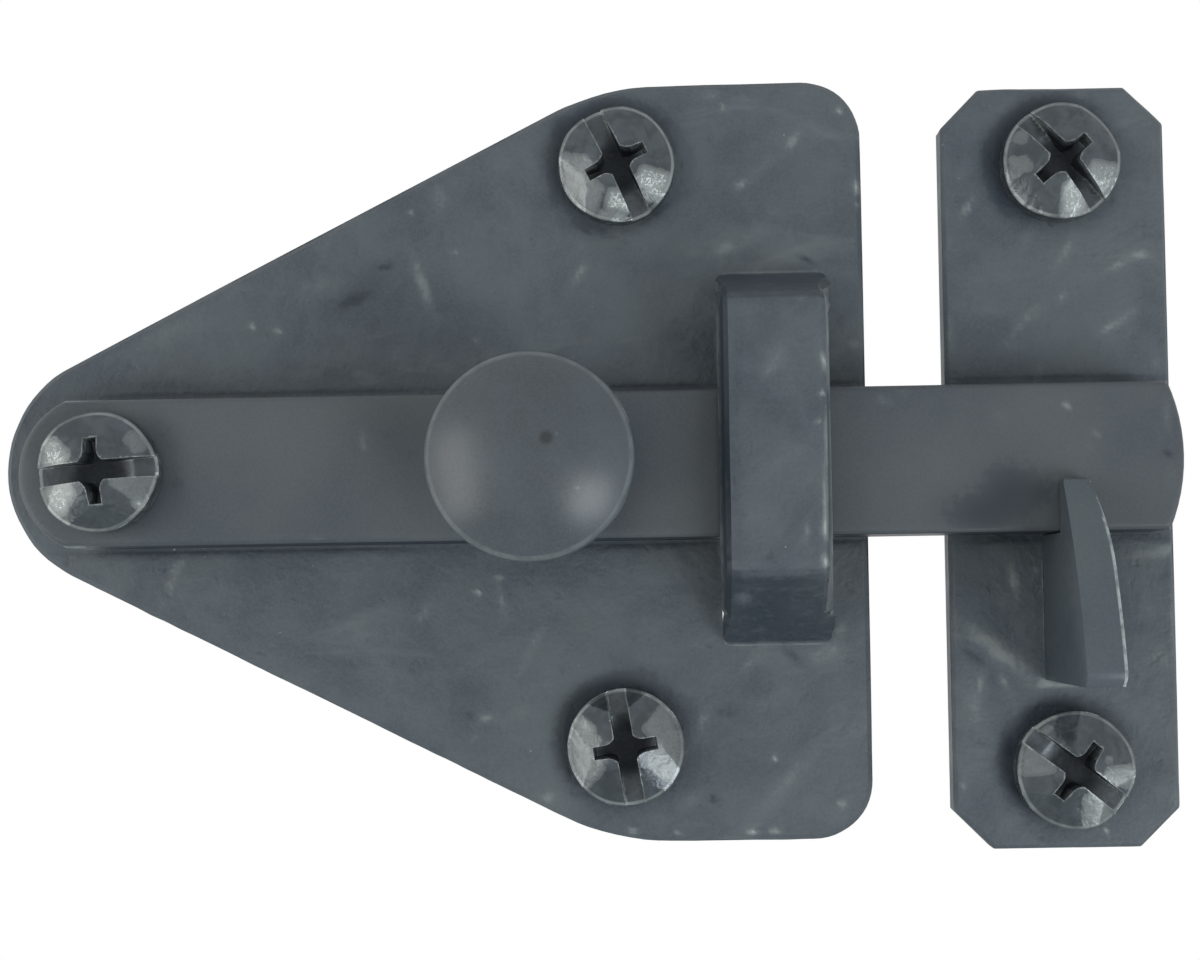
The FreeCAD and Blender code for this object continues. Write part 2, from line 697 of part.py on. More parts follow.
def cross_outline(sketch):
    """A cross of four arms whose inner corners are rounded towards the middle."""
    reach, half, rounding = number("cross_reach"), number("cross_half"), number("cross_round")
    bend = half + rounding

    def turned(point, quarter):
        across, up = point
        for _ in range(quarter):
            across, up = -up, across
        return across, up

    loop = []
    for quarter in range(4):
        low = line(sketch, turned((bend, -half), quarter), turned((reach, -half), quarter))
        tip = line(sketch, turned((reach, -half), quarter), turned((reach, half), quarter))
        high = line(sketch, turned((reach, half), quarter), turned((bend, half), quarter))
        middle = turned((bend, bend), quarter)
        start = 180 + 90 * quarter
        bow = arc(sketch, middle, rounding, start, start + 90)
        loop.append((low, tip, high, bow))
        along, across = ("Horizontal", "Vertical") if quarter % 2 == 0 else ("Vertical", "Horizontal")
        sketch.addConstraint(Sketcher.Constraint("Coincident", low, 2, tip, 1))
        sketch.addConstraint(Sketcher.Constraint("Coincident", tip, 2, high, 1))
        sketch.addConstraint(Sketcher.Constraint(along, low))
        sketch.addConstraint(Sketcher.Constraint(across, tip))
        sketch.addConstraint(Sketcher.Constraint(along, high))
        reach_way, side_way = ("DistanceX", "DistanceY") if quarter % 2 == 0 else ("DistanceY", "DistanceX")
        outward = "" if quarter < 2 else "-"
        upward = "" if quarter in (0, 3) else "-"
        downward = "-" if quarter in (0, 3) else ""
        bound(sketch, outward + "cross_reach", reach_way, -1, 1, tip, 1)
        bound(sketch, downward + "cross_half", side_way, -1, 1, low, 2)
        bound(sketch, upward + "cross_half", side_way, -1, 1, high, 1)
    for quarter, (low, tip, high, bow) in enumerate(loop):
        following = loop[(quarter + 1) % 4]
        sketch.addConstraint(Sketcher.Constraint("Tangent", high, 2, bow, 2))
        sketch.addConstraint(Sketcher.Constraint("Tangent", bow, 1, following[0], 1))
        if quarter:
            sketch.addConstraint(Sketcher.Constraint("Equal", loop[0][3], bow))
    bound(sketch, "cross_round", "Radius", loop[0][3])


def make_screw(label, across, up, seat, neck, length):
    """A wood screw with its head's seat at its origin, its axis along Y and its point towards +Y."""
    body = new_body(label, across=across, out=seat, up=up)
    turn = FreeCAD.Rotation(FreeCAD.Vector(0, -1, 0), SLOT_ANGLES[label])
    body.Placement = FreeCAD.Placement(body.Placement.Base, turn)
    sketch = new_sketch(body, label + "_profile", "YZ_Plane")
    neck_end = label + "_neck_end"
    point_start = label + "_point_start"
    corners = [("-head_height", "zero"), ("-head_height", "facet_crown"), ("-head_rim", "head_radius")]
    corners += [("zero", "head_radius")]
    corners += [("zero", "screw_neck_radius"), (neck, "screw_neck_radius")]
    corners += [(neck_end, "screw_core_radius"), (point_start, "screw_core_radius"), (length, "zero")]
    polygon(sketch, corners)
    revolve(body, label + "_turned", sketch)

    # one of the head's four bowed facets, then the other three round the axis
    sketch = new_sketch(body, label + "_facet_side", "YZ_Plane")
    facet_foot = ("-facet_rim", "head_radius")
    facet_top = ("-head_height", "facet_crown")
    pieces = [
        (facet_foot, facet_top, "facet_sweep", 1),
        (facet_top, ("-above_head", "facet_crown"), None, 0),
        (("-above_head", "facet_crown"), ("-above_head", "head_clear"), None, 0),
        (("-above_head", "head_clear"), ("-facet_rim", "head_clear"), None, 0),
        (("-facet_rim", "head_clear"), facet_foot, None, 0),
    ]
    outline(sketch, pieces)
    facet = cut_through(body, label + "_facet", sketch)
    facets = body.newObject("PartDesign::PolarPattern", label + "_facets")
    facets.Originals = [facet]
    facets.Axis = (origin_part(body, "Y_Axis"), [""])
    facets.Angle = 360
    facets.Occurrences = 4
    body.Tip = facets
    doc.recompute()

    sketch = new_sketch(body, label + "_slot_side", "YZ_Plane")
    corners = [("-slot_floor", "-slot_half"), ("-above_head", "-slot_half")]
    corners += [("-above_head", "slot_half"), ("-slot_floor", "slot_half")]
    polygon(sketch, corners)
    cut_through(body, label + "_slot", sketch)

    sketch = new_sketch(body, label + "_cross_outline", "XZ_Plane")
    sketch.setExpression("AttachmentOffset.Base.z", term("head_height"))
    cross_outline(sketch)
    before = body.Shape.Volume
    recess = body.newObject("PartDesign::Pocket", label + "_cross")
    recess.Profile = sketch
    recess.setExpression("Length", term("cross_depth"))
    recess.setExpression("TaperAngle", "-sizes.cross_taper * 1 deg")
    doc.recompute()
    if not body.Shape.Volume < before - CLOSE:
        raise RuntimeError(f"{label}_cross cuts nothing")
    return body


def check_document():
    """Stop if any object of the document failed to rebuild."""
    failed = [item.Label for item in doc.Objects if {"Invalid", "Error"} & set(item.State)]
    if failed:
        raise RuntimeError("failed objects: " + ", ".join(failed))


def write_parts(bodies):
    os.makedirs("parts", exist_ok=True)
    for body in bodies:
        shape = body.Shape
        if shape.isNull() or not shape.isValid() or len(shape.Solids) != 1:
            raise RuntimeError(f"{body.Label} is not one valid solid")
    for body in bodies:
        body.Shape.exportStep(os.path.join("parts", body.Label + ".step"))


# Each screw's place, the height of its head's seat, its plain neck and its whole length.
PLATE_SEAT = ("plate_thick", "neck_long", "screw_length")
SCREWS = [
    ("pivot_screw", "zero", "zero", "pivot_seat", "pivot_neck_long", "pivot_screw_length"),
    ("plate_screw_top", "plate_screw_reach", "plate_screw_high", *PLATE_SEAT),
    ("plate_screw_bottom", "plate_screw_reach", "plate_screw_low", *PLATE_SEAT),
    ("strike_screw_top", "strike_screw_reach", "strike_screw_high", *PLATE_SEAT),
    ("strike_screw_bottom", "strike_screw_reach", "strike_screw_low", *PLATE_SEAT),
]

for screw, _, _, _, screw_neck, screw_total in SCREWS:
    WORKED_OUT[screw + "_neck_end"] = f"{screw_neck} + screw_neck_radius - screw_core_radius"
    WORKED_OUT[screw + "_point_start"] = f"{screw_total} - screw_point"

fill_sheet()
parts = [make_backplate(), make_latch_bar(), make_knob(), make_strike_plate(), make_catch()]
parts += [make_screw(*screw) for screw in SCREWS]
doc.recompute()
check_document()
write_parts(parts)
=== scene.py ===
import json
import math

import bmesh
import bpy
from bpy.props import FloatProperty, FloatVectorProperty, IntProperty, PointerProperty
from mathutils import Matrix, Vector, noise


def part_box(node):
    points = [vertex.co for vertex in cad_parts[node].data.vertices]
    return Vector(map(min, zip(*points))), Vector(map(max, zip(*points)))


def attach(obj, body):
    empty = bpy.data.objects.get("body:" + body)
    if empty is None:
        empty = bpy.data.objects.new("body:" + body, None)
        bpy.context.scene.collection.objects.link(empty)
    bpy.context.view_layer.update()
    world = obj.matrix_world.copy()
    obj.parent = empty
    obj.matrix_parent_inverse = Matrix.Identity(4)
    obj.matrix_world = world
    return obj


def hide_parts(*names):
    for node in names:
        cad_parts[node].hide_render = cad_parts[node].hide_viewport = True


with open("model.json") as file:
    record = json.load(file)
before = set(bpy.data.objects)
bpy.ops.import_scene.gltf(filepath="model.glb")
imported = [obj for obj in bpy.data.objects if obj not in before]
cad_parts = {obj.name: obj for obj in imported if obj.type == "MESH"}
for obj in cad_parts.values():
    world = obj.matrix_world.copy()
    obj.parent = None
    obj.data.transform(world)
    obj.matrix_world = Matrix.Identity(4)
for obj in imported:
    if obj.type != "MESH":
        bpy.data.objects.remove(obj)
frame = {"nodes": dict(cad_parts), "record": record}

bl_info = {
    "name": "Cabinet Latch",
    "version": (1, 0, 0),
    "blender": (4, 5, 0),
    "location": "View3D > Sidebar > Latch",
    "description": "Dresses a black iron cabinet latch: plates, bar, knob, catch and screws",
    "category": "Object",
}

# The body that carries each node, and the finish that each node takes.
BODY_OF = {node: body for body, nodes in frame["record"]["behaviour"]["bodies"].items() for node in nodes}
SCREWS = [name for name in sorted(frame["nodes"]) if "screw" in name]

MM = 0.001

# Points closer than this are one. Faces wider than this, in square metres, are shaded flat.
WELD = 2e-6
WIDE_FACE = 1e-5

# Turns from one face to the next: up to the first they are one flat face, from the second on their edge is
# rounded and from the third on it is shaded as a crease. The lighter edges, bare from use and painted
# highlight, start at the fourth and grow over a step.
FLAT_ANGLE = math.radians(0.5)
HARD_ANGLE = math.radians(28)
CREASE_ANGLE = math.radians(50)
WEAR_AND_SHEEN_ANGLE = math.radians(18)
WEAR_AND_SHEEN_STEP = math.radians(6)

# What stands further than this off the mounting plane, in mm, is the bridge. The marks of a piece lie on
# faces between two depths.
BRIDGE_FOOT = 2.1
PLATE_FACE = -BRIDGE_FOOT * MM
PLATE_DEPTHS = (-2.4 * MM, -1.5 * MM)
BRIDGE_DEPTHS = (-10 * MM, -6 * MM)
BAR_DEPTHS = (-7.1 * MM, -6 * MM)

# Least half size of a mark in mm, and how many half sizes it reaches.
LEAST_MARK = 0.22
MARK_REACH = 2.2

# Waves of the uneven skins, per metre.
WIDE_WAVE, CLOSE_WAVE = 170, 420
OUTLINE_WAVE, OUTLINE_NICKS = 260, 700
HEAD_WAVE = 900

# Darkest tones: of the dark marks, smudges and painted shadows alike, and of the screws' crosses.
SMUDGE_AND_SHADE_TONE = (0.001, 0.009, 0.019)
RECESS = (0.005, 0.009, 0.014)

# Where the lamps look, how far off they stand and where the floor's middle is, in metres.
LAMP_AIM = (0.033, -0.005, 0)
LAMP_DISTANCE = 0.42
FLOOR_ACROSS = 0.03

# Marks of use and of the hammer, with painted shadows and highlights among them, placed on the fronts. Each
# one is its place across and up, its half length and half width, all in mm, its slant in degrees and its
# amount: light above 0, dark below.
# On the backplate, the dark marks round the top screw and the dark patch left of the bridge are painted
# shadows.
PLATE_MARKS_AND_SHADOWS = (
    (42, -18.5, 9, 7, 0, -0.09), (24, -10.5, 12, 5, 0, -0.07),
    (15.4, 11.7, 1.21, 0.4, 22, -0.6), (17.6, 14, 0.74, 0.24, 12, -0.5), (16.6, 12.9, 1.75, 0.94, 30, -0.22),
    (20.6, 9.6, 5.72, 2.15, 8, -0.16), (13.8, 6.7, 2.69, 0.81, 0, -0.3), (2.3, 6.2, 4.19, 0.54, 0, -0.3),
    (45.8, 13.9, 0.67, 0.13, -25, -0.6), (28.4, 17.9, 1.08, 0.67, 50, -0.22),
    (31.5, 16.3, 1.48, 0.47, -15, -0.28), (35.8, 17.3, 1.34, 0.47, 35, -0.3),
    (36.6, 23.5, 0.94, 1.34, 60, -0.15), (29.5, 23, 0.67, 1.48, 30, -0.2), (38, 8.6, 2.01, 3.01, 70, -0.28),
    (20.1, 12.7, 2.02, 0.4, -72, 0.5), (21.3, 18.4, 0.67, 1.08, 0, 0.28), (30.6, 13.2, 0.87, 0.34, 55, 0.5),
    (40.4, 14.8, 0.94, 0.47, 15, 0.42), (42.1, 15.3, 0.94, 0.47, 30, 0.2), (45.1, 22, 0.8, 0.33, 48, 0.5),
    (41.5, 19, 0.47, 0.27, 35, 0.5), (43.2, 20.3, 1.61, 0.47, 40, 0.18), (39.8, 25.1, 0.6, 0.4, 0, 0.35),
    (13.3, 12.8, 1.75, 0.81, 10, 0.24), (2.7, 9.8, 1.9, 0.61, 25, 0.22), (-0.5, 8.4, 1.35, 0.54, 25, 0.15),
    (25.8, 21, 1.68, 0.54, 27, 0.12), (7.8, 12.6, 1.49, 0.54, 27, 0.12), (-7.1, 0.4, 0.27, 2.57, 0, 0.3),
    (-6.2, 3.4, 0.27, 1.69, -30, 0.2), (19.3, 17.6, 0.2, 0.15, 0, 0.6), (22.3, 14.9, 0.27, 0.13, 20, 0.5),
    (8.6, 10.1, 0.27, 0.16, -50, 0.8), (10.3, 9.8, 0.24, 0.16, 0, 0.8), (23.7, 8.9, 0.2, 0.2, -60, 0.6),
    (40.4, 24.3, 0.2, 0.15, -40, 0.6), (48.2, 23.9, 0.27, 0.13, -20, 0.9), (49.3, 18.7, 0.13, 0.53, 0, 1),
    (49.4, 17.5, 0.13, 0.2, 0, 0.7), (48.9, 8.1, 0.6, 0.4, 0, 0.35), (47.9, 9.8, 0.67, 0.4, 60, -0.25),
    (47.6, 7.6, 0.47, 0.2, 10, 0.2), (3, -6.9, 1.75, 0.4, 68, 0.34), (3.7, -5.7, 0.67, 0.34, 50, 0.2),
    (23.9, -16.4, 0.6, 0.33, 15, 0.5), (22.8, -16.2, 0.47, 0.33, -20, -0.35),
    (23.2, -17.6, 0.53, 0.27, 60, 0.25), (19.9, -9.3, 0.87, 0.3, 65, 0.34),
    (25.1, -8.5, 1.47, 0.33, -78, 0.36), (25, -7, 0.4, 0.17, 20, 0.4), (27.5, -10.9, 1.33, 0.23, 62, 0.32),
    (26.6, -12.9, 1.07, 0.27, 60, 0.2), (26.2, -16, 0.8, 0.33, 20, 0.2), (28, -21.7, 0.67, 0.47, 10, 0.42),
    (33.6, -24, 0.33, 0.17, 0, 0.8), (36.6, -24.1, 0.2, 0.13, 0, 0.7), (41.5, -24.2, 0.33, 0.17, 0, 1),
    (43, -24.1, 0.4, 0.2, 0, 0.9), (47.4, -22.3, 0.2, 0.13, 40, 0.7), (23.5, -8, 0.23, 0.21, 0, 1),
    (43.1, -19.3, 0.2, 0.19, 0, 1), (39, -21.9, 0.13, 0.13, 0, -0.8), (38.3, -16.9, 1.26, 0.4, 64, 0.48),
    (42.7, -15.6, 2.39, 0.6, 40, 0.22), (42.3, -17.6, 1.46, 0.8, 25, 0.24),
    (41.6, -12.9, 1.33, 0.33, 42, 0.32), (46.6, -12.5, 1.59, 0.79, 12, 0.38),
    (47.6, -10.8, 0.93, 0.46, 58, 0.36), (44.5, -12.6, 0.93, 0.27, -42, -0.4),
    (44.1, -20.6, 3.44, 0.6, 48, 0.34), (45.7, -22.1, 1.65, 0.46, 45, 0.12), (37.5, -22, 1.19, 0.46, 42, 0.3),
    (48.3, -17.7, 1.32, 0.46, 35, 0.28), (40.2, -16.2, 1.06, 0.4, -10, -0.28),
    (41.2, -16.8, 0.66, 0.33, 0, -0.15), (47.7, -22.5, 1.72, 0.59, 50, 0.25),
    (22, -12.2, 1.47, 0.53, 20, -0.18), (22.9, -14.5, 0.93, 0.53, 0, -0.16),
    (31.6, -14.6, 1.66, 0.8, 35, -0.16), (30.2, -16.6, 0.67, 1.6, 0, -0.25),
    (34.3, -13.2, 1.6, 0.4, -20, -0.2), (35.9, -12.7, 0.53, 0.27, 0, 0.22), (48.7, -6.9, 0.66, 1.19, 0, -0.2),
    (48.3, -8.3, 0.27, 0.2, 0, -0.4),
)
# Painted contact shadows: dark lines along the bar's top and bottom edges, on the backplate.
CONTACT_SHADOWS = (
    (0, 5.5, 4, 0.26, 0, -0.45), (8, 5.5, 5, 0.3, 0, -0.55), (17, 5.55, 5, 0.26, 0, -0.45),
    (29, 5.5, 5, 0.3, 0, -0.55), (36, 5.5, 4, 0.32, 0, -0.6), (47.5, 5.5, 2.5, 0.3, 0, -0.55),
    (2, -5.0, 6, 0.28, 0, -0.6), (13, -5.0, 7, 0.26, 0, -0.55), (33, -5.0, 8, 0.3, 0, -0.65),
    (47.5, -5.0, 2.5, 0.3, 0, -0.6),
)
# On the bridge, painted highlights: the glints down its right edge, the line at its lower bend and the spot at
# its lower left; painted shade: the dark band down its left side. The rest are lighter patches of its front.
BRIDGE_MARKS_SHADE_AND_GLINTS = (
    (43, 6, 1.37, 0.5, 62, 0.42), (42.3, 6.8, 0.87, 0.37, 20, 0.15), (44, 5.4, 0.5, 0.87, 0, 0.2),
    (43.9, 0.2, 2.86, 0.56, 38, 0.16), (44.9, -4.5, 0.25, 0.75, -12, 0.45), (44.8, 10, 0.31, 0.19, 0, 0.4),
    (41.3, 9.3, 0.5, 0.37, 0, 0.15), (46.2, 6, 0.25, 0.69, 12, 0.95), (46, 4.1, 0.16, 0.16, 0, 1),
    (45.7, 2.3, 0.16, 0.25, 0, 0.7), (46.3, 1.1, 0.16, 1.9, 0, 0.75), (46.1, -2.7, 0.16, 2.1, 0, 0.8),
    (46, -4.5, 0.19, 0.62, 0, 0.8), (46, -6.5, 0.25, 0.62, 5, 1), (43.2, -7.2, 2.48, 0.19, 0, 0.42),
    (40.9, -8.7, 0.43, 0.14, 0, 1), (40.5, -0.7, 0.44, 6.85, 0, -0.24), (40.8, 6.2, 0.31, 1.87, 0, -0.1),
    (42, -3.8, 1.24, 1.24, 0, 0.12), (44.5, -5.4, 1.24, 0.75, 0, 0.14),
)
# On the strike plate, the first five are painted contact shadows along the bar, the dark marks round the top
# screw are its painted shadow and the light lines along the catch's foot are a painted highlight.
STRIKE_MARKS_AND_SHADOWS = (
    (57, 5.5, 2.6, 0.34, 0, -0.6), (62, 5.6, 3, 0.36, 0, -0.6), (67, 5.5, 3, 0.34, 0, -0.6),
    (59, -5.0, 4, 0.3, 0, -0.55), (68, -5.0, 2.5, 0.3, 0, -0.5),
    (56.6, 17.1, 1, 0.27, 58, 0.5), (60.6, 15.2, 0.86, 0.2, 62, 0.28), (63.1, 14.2, 1.33, 0.33, 58, 0.4),
    (66.7, 13.2, 1.46, 0.3, 28, 0.45), (68.2, 13.8, 0.66, 0.4, 0, 0.3), (60.5, 9.7, 1.72, 0.4, 42, 0.3),
    (62.8, 11.1, 0.6, 0.2, 62, 0.36), (65.9, 9, 0.86, 0.26, 28, 0.5), (67.1, 9.8, 1.32, 0.33, 28, 0.25),
    (55.3, 8.8, 0.4, 1.33, 0, 0.3), (59.4, 7.9, 1.06, 0.53, 20, 0.2), (61.1, 5.9, 0.17, 0.6, -15, 0.3),
    (68.9, 6.4, 0.33, 0.79, 0, 0.2), (58.8, 17.6, 1.2, 0.53, -60, -0.3), (57.9, 20.3, 0.53, 1.73, 0, -0.25),
    (59.6, 23, 0.93, 0.53, 40, -0.15), (65, 11.5, 2.65, 0.93, 35, -0.1), (65.4, 16.5, 1.33, 0.46, 30, -0.2),
    (57.8, -12.2, 3.04, 0.66, -38, 0.46), (56.4, -12.8, 1.32, 0.4, -35, -0.42),
    (56.8, -14.5, 0.2, 0.59, -12, 0.55), (58.3, -14.4, 0.26, 0.59, 25, 0.5),
    (57.6, -14.2, 0.33, 0.53, 0, -0.35), (59.2, -7.8, 0.33, 1.19, 10, 0.55), (60.6, -7.1, 0.2, 0.4, 0, 0.3),
    (58.6, -9.1, 0.26, 0.79, -10, 0.2), (68.2, -6.1, 1.45, 0.46, 5, 0.4), (69.2, -5.9, 0.53, 0.4, 0, 0.4),
    (69.1, -7.6, 1.32, 0.26, 5, -0.25), (67.8, -7.6, 0.92, 0.53, 30, 0.15), (68.1, -9.9, 1.71, 0.66, 35, 0.16),
    (67.1, -10.9, 0.92, 0.53, 20, -0.25), (68.7, -12.9, 0.59, 0.92, 30, 0.25),
    (69.5, -10.6, 0.2, 1.97, 0, 0.3), (56.4, -16.3, 0.79, 1.58, 10, 0.3), (55.5, -21.3, 0.26, 0.4, 0, 0.4),
    (68.5, -20.3, 1.18, 0.52, 10, -0.28), (69, -14.5, 0.66, 1.31, 0, 0.1), (62.2, -14.7, 1.58, 0.14, 0, 0.75),
    (61.1, -14.5, 0.53, 0.16, 0, 0.5), (58.1, -12.7, 0.66, 0.33, 0, 0.2), (58.7, -18.3, 0.79, 1.71, 20, -0.3),
    (61, -16.5, 1.71, 0.53, 20, -0.3), (59.3, -21.6, 1.05, 0.53, -45, -0.2), (64.8, -24.4, 0.2, 0.18, 0, 1),
    (58.2, -23.6, 0.92, 0.53, 30, 0.14), (66.5, -22.4, 0.79, 1.31, -20, -0.15),
    (69.5, -22.4, 0.26, 0.66, -20, 0.3), (58.3, 25.1, 0.8, 0.2, 10, 0.15), (64.3, 24.7, 0.2, 0.2, 0, 0.4),
    (68, 13.7, 0.2, 0.2, 0, 0.4),
)
# On the bar, the first three are the catch's painted shadow and the dark patches left of the knob and beside
# the bridge are painted shadows too; the rest are scuffs, specks and the dark ring round the pivot.
BAR_MARKS_AND_SHADOWS = (
    (58.3, -1.8, 2.1, 1.7, -25, -0.58), (56.2, -3.6, 2.7, 1.6, 0, -0.62), (60.2, -2.2, 0.9, 0.9, 0, -0.2),
    (16.9, 2, 0.26, 0.52, 10, 0.4), (16.8, 1.4, 0.19, 0.19, 0, 0.3), (13.8, -4.7, 0.39, 0.13, 0, 1),
    (50.5, 3.9, 0.76, 0.25, 25, 0.42), (51.5, 4.2, 0.38, 0.19, 0, 0.3), (61.7, 3.3, 0.19, 0.19, 0, 0.6),
    (57.5, 2.6, 0.25, 0.16, -40, 0.4), (63.5, 1.5, 0.25, 0.19, 0, 0.4), (63, 0.7, 0.19, 0.19, 0, 0.25),
    (18.9, 2.5, 2.57, 1.67, 0, -0.22), (19.5, 0.8, 1.03, 0.58, 0, -0.15), (4.7, -0.5, 0.9, 2.59, 0, -0.3),
    (3.7, 2.7, 0.65, 1.29, 30, -0.2), (3, -3.4, 1.29, 0.52, 20, -0.2), (68.1, 0.1, 0.38, 0.19, -10, -0.6),
    (68.3, -1.6, 0.13, 1.01, 0, 0.35), (68, 2.2, 0.19, 1.26, -10, 0.3), (49.9, -0, 3.81, 1.91, 0, 0.04),
    (47.6, -0.6, 0.89, 3.82, 0, -0.1), (37.8, 0.8, 1.28, 3.83, 0, -0.1),
)

# Painted highlights on the screw heads' facets, the patches where the lamps and the white surroundings reflect:
# middle and half width of each in degrees about the head's middle, its inner and outer radius in mm, and its
# amount.
HEAD_FACET_HIGHLIGHTS = {
    "plate_screw_top": (
        (207, 40, 1.8, 3.72, 0.42), (188, 16, 1.5, 2.4, 0.3), (-88, 17, 1.9, 3.2, 1),
        (-95, 15, 3.25, 3.75, 0.7), (-29, 17, 1.7, 3.7, 0.95), (-140, 6, 2.5, 3.6, 0.55),
    ),
    "pivot_screw": (
        (157, 17, 1.8, 3.55, 0.9), (216, 18, 1.7, 3.55, 0.85), (-22, 17, 1.3, 3.7, 0.3), (-37, 5, 3.2, 3.75, 1),
        (35, 14, 2.6, 3.7, 0.26), (187, 3, 2.4, 3.6, 0.4),
    ),
    "strike_screw_top": (
        (-78, 15, 1.7, 3.75, 0.85), (-25, 19, 1.8, 3.72, 0.85), (187, 14, 2.1, 3.6, 0.27),
        (150, 10, 2.6, 3.6, 0.25),
    ),
    "plate_screw_bottom": (
        (190, 37, 1.7, 3.72, 0.38), (150, 5, 2.3, 3.7, 0.85), (10, 41, 1.6, 3.72, 0.38),
        (-35, 3.5, 1.9, 3.7, 0.95), (-81, 4, 2.9, 3.15, 1),
    ),
    "strike_screw_bottom": (
        (168, 18, 1.5, 3.7, 0.32), (-8, 13, 1.7, 3.72, 0.6), (-67, 18, 1.6, 3.75, 0.5),
        (128, 12, 3.0, 3.5, 0.3), (20, 9, 1.8, 2.4, 0.3),
    ),
}


# ---------------------------------------------------------------- settings


class LatchSizes(bpy.types.PropertyGroup):
    """Sizes of the detail that the finish adds to the solids."""

    plate_grid: FloatProperty(
        name="Plate grid", description="Spacing of the cuts that let the forging move the plates' faces",
        default=0.3 * MM, unit="LENGTH",
    )
    bar_grid: FloatProperty(
        name="Bar grid", description="Spacing of the cuts in the bar's face", default=0.45 * MM, unit="LENGTH",
    )
    head_grid: FloatProperty(
        name="Head grid", description="Spacing of the cuts in the screw heads", default=0.22 * MM,
        unit="LENGTH",
    )
    forge_depth: FloatProperty(
        name="Forging depth", description="Deepest hollow that the hammer left in the plates",
        default=0.05 * MM, unit="LENGTH",
    )
    outline_wave: FloatProperty(
        name="Outline wave", description="Unevenness of the plates' cut outlines", default=0.09 * MM,
        unit="LENGTH",
    )
    bridge_flare: FloatProperty(
        name="Bridge flare", description="Spread of the bridge's sheared sides towards its back",
        default=0.33 * MM, unit="LENGTH",
    )
    bridge_lean: FloatProperty(
        name="Bridge lean", description="How far the bridge's front stands to the left of its roots",
        default=0.34 * MM, unit="LENGTH",
    )
    head_fall: FloatProperty(
        name="Head fall", description="Fall of the screw heads' domes from crown to rim", default=1.05 * MM,
        unit="LENGTH",
    )
    head_wave: FloatProperty(
        name="Head wave", description="Unevenness of the screw heads' facets", default=0.035 * MM,
        unit="LENGTH",
    )
    recess_depth: FloatProperty(
        name="Recess depth", description="How far the cross sinks below the screws' slots", default=0.5 * MM,
        unit="LENGTH",
    )
    edge_ease: FloatProperty(
        name="Eased edge", description="Rounding of the plates', bar's and catch's edges",
        default=0.12 * MM, unit="LENGTH",
    )
    nose_taper: FloatProperty(
        name="Nose taper", description="How much narrower the catch is at its tip", default=0.8 * MM,
        unit="LENGTH",
    )
    nose_length: FloatProperty(
        name="Nose length", description="Length over which the catch narrows", default=5.5 * MM, unit="LENGTH",
    )
    catch_wear: FloatProperty(
        name="Catch wear", description="Rounding of the catch's rubbed edge", default=0.34 * MM, unit="LENGTH",
    )
    head_ease: FloatProperty(
        name="Screw head edge", description="Rounding of the screw heads' edges",
        default=0.09 * MM, unit="LENGTH",
    )
    dome_rise: FloatProperty(
        name="Knob dome", description="Rise of the knob's dome above its rim", default=2.3 * MM, unit="LENGTH",
    )
    knob_rim: FloatProperty(
        name="Knob rim", description="Height of the knob's straight rim", default=0.7 * MM, unit="LENGTH",
    )
    knob_neck: FloatProperty(
        name="Knob neck", description="Radius of the knob's neck", default=3.2 * MM, unit="LENGTH",
    )
    neck_length: FloatProperty(
        name="Neck length", description="Length of the knob's straight neck", default=3.2 * MM, unit="LENGTH",
    )
    tenon_radius: FloatProperty(
        name="Tenon radius", description="Radius of the knob's tenon through the bar", default=2.0 * MM,
        unit="LENGTH",
    )
    tenon_length: FloatProperty(
        name="Tenon length", description="Thickness of the bar that the tenon goes through", default=4.8 * MM,
        unit="LENGTH",
    )
    rivet_flare: FloatProperty(
        name="Rivet flare", description="Spread of the tenon's end in its countersink", default=0.6 * MM,
        unit="LENGTH",
    )
    thread_pitch: FloatProperty(
        name="Thread pitch", description="Distance between turns of the screws' threads", default=1.7 * MM,
        unit="LENGTH",
    )
    thread_core: FloatProperty(
        name="Thread core", description="Radius of the screws' cores", default=1.45 * MM, unit="LENGTH",
    )
    thread_height: FloatProperty(
        name="Thread height", description="Height of the thread above the core", default=0.6 * MM,
        unit="LENGTH",
    )
    point_length: FloatProperty(
        name="Point length", description="Length of the screws' points", default=4.5 * MM, unit="LENGTH",
    )
    thread_steps: IntProperty(
        name="Steps a turn", description="Steps in each turn of the threads", default=28, min=8,
    )


class LatchColours(bpy.types.PropertyGroup):
    """Colours of the finishes."""

    plate: FloatVectorProperty(
        name="Plates", description="Black of the forged plates", subtype="COLOR", size=3, min=0, max=1,
        default=(0.0620, 0.0770, 0.0900),
    )
    bar: FloatVectorProperty(
        name="Bar", description="Black of the smooth bar", subtype="COLOR", size=3, min=0, max=1,
        default=(0.0525, 0.0640, 0.0740),
    )
    knob: FloatVectorProperty(
        name="Knob", description="Black of the turned knob", subtype="COLOR", size=3, min=0, max=1,
        default=(0.055, 0.067, 0.077),
    )
    catch: FloatVectorProperty(
        name="Catch", description="Black of the catch", subtype="COLOR", size=3, min=0, max=1,
        default=(0.0605, 0.0775, 0.0910),
    )
    screw: FloatVectorProperty(
        name="Screws", description="Glossy black of the screws", subtype="COLOR", size=3, min=0, max=1,
        default=(0.058, 0.069, 0.078),
    )
    scuff: FloatVectorProperty(
        name="Scuffs", description="Grey of the scuffs and streaks", subtype="COLOR", size=3, min=0, max=1,
        default=(0.200, 0.218, 0.218),
    )
    # The bare-spot grey also colours the painted highlights: glints, lit edges, rims and screw facets.
    bright: FloatVectorProperty(
        name="Bare spots", description="Grey of the specks and edges that are worn bright", subtype="COLOR",
        size=3, min=0, max=1, default=(0.40, 0.43, 0.42),
    )
    floor: FloatVectorProperty(
        name="Floor", description="Colour of the floor", subtype="COLOR", size=3, min=0, max=1,
        default=(0.82, 0.82, 0.81),
    )


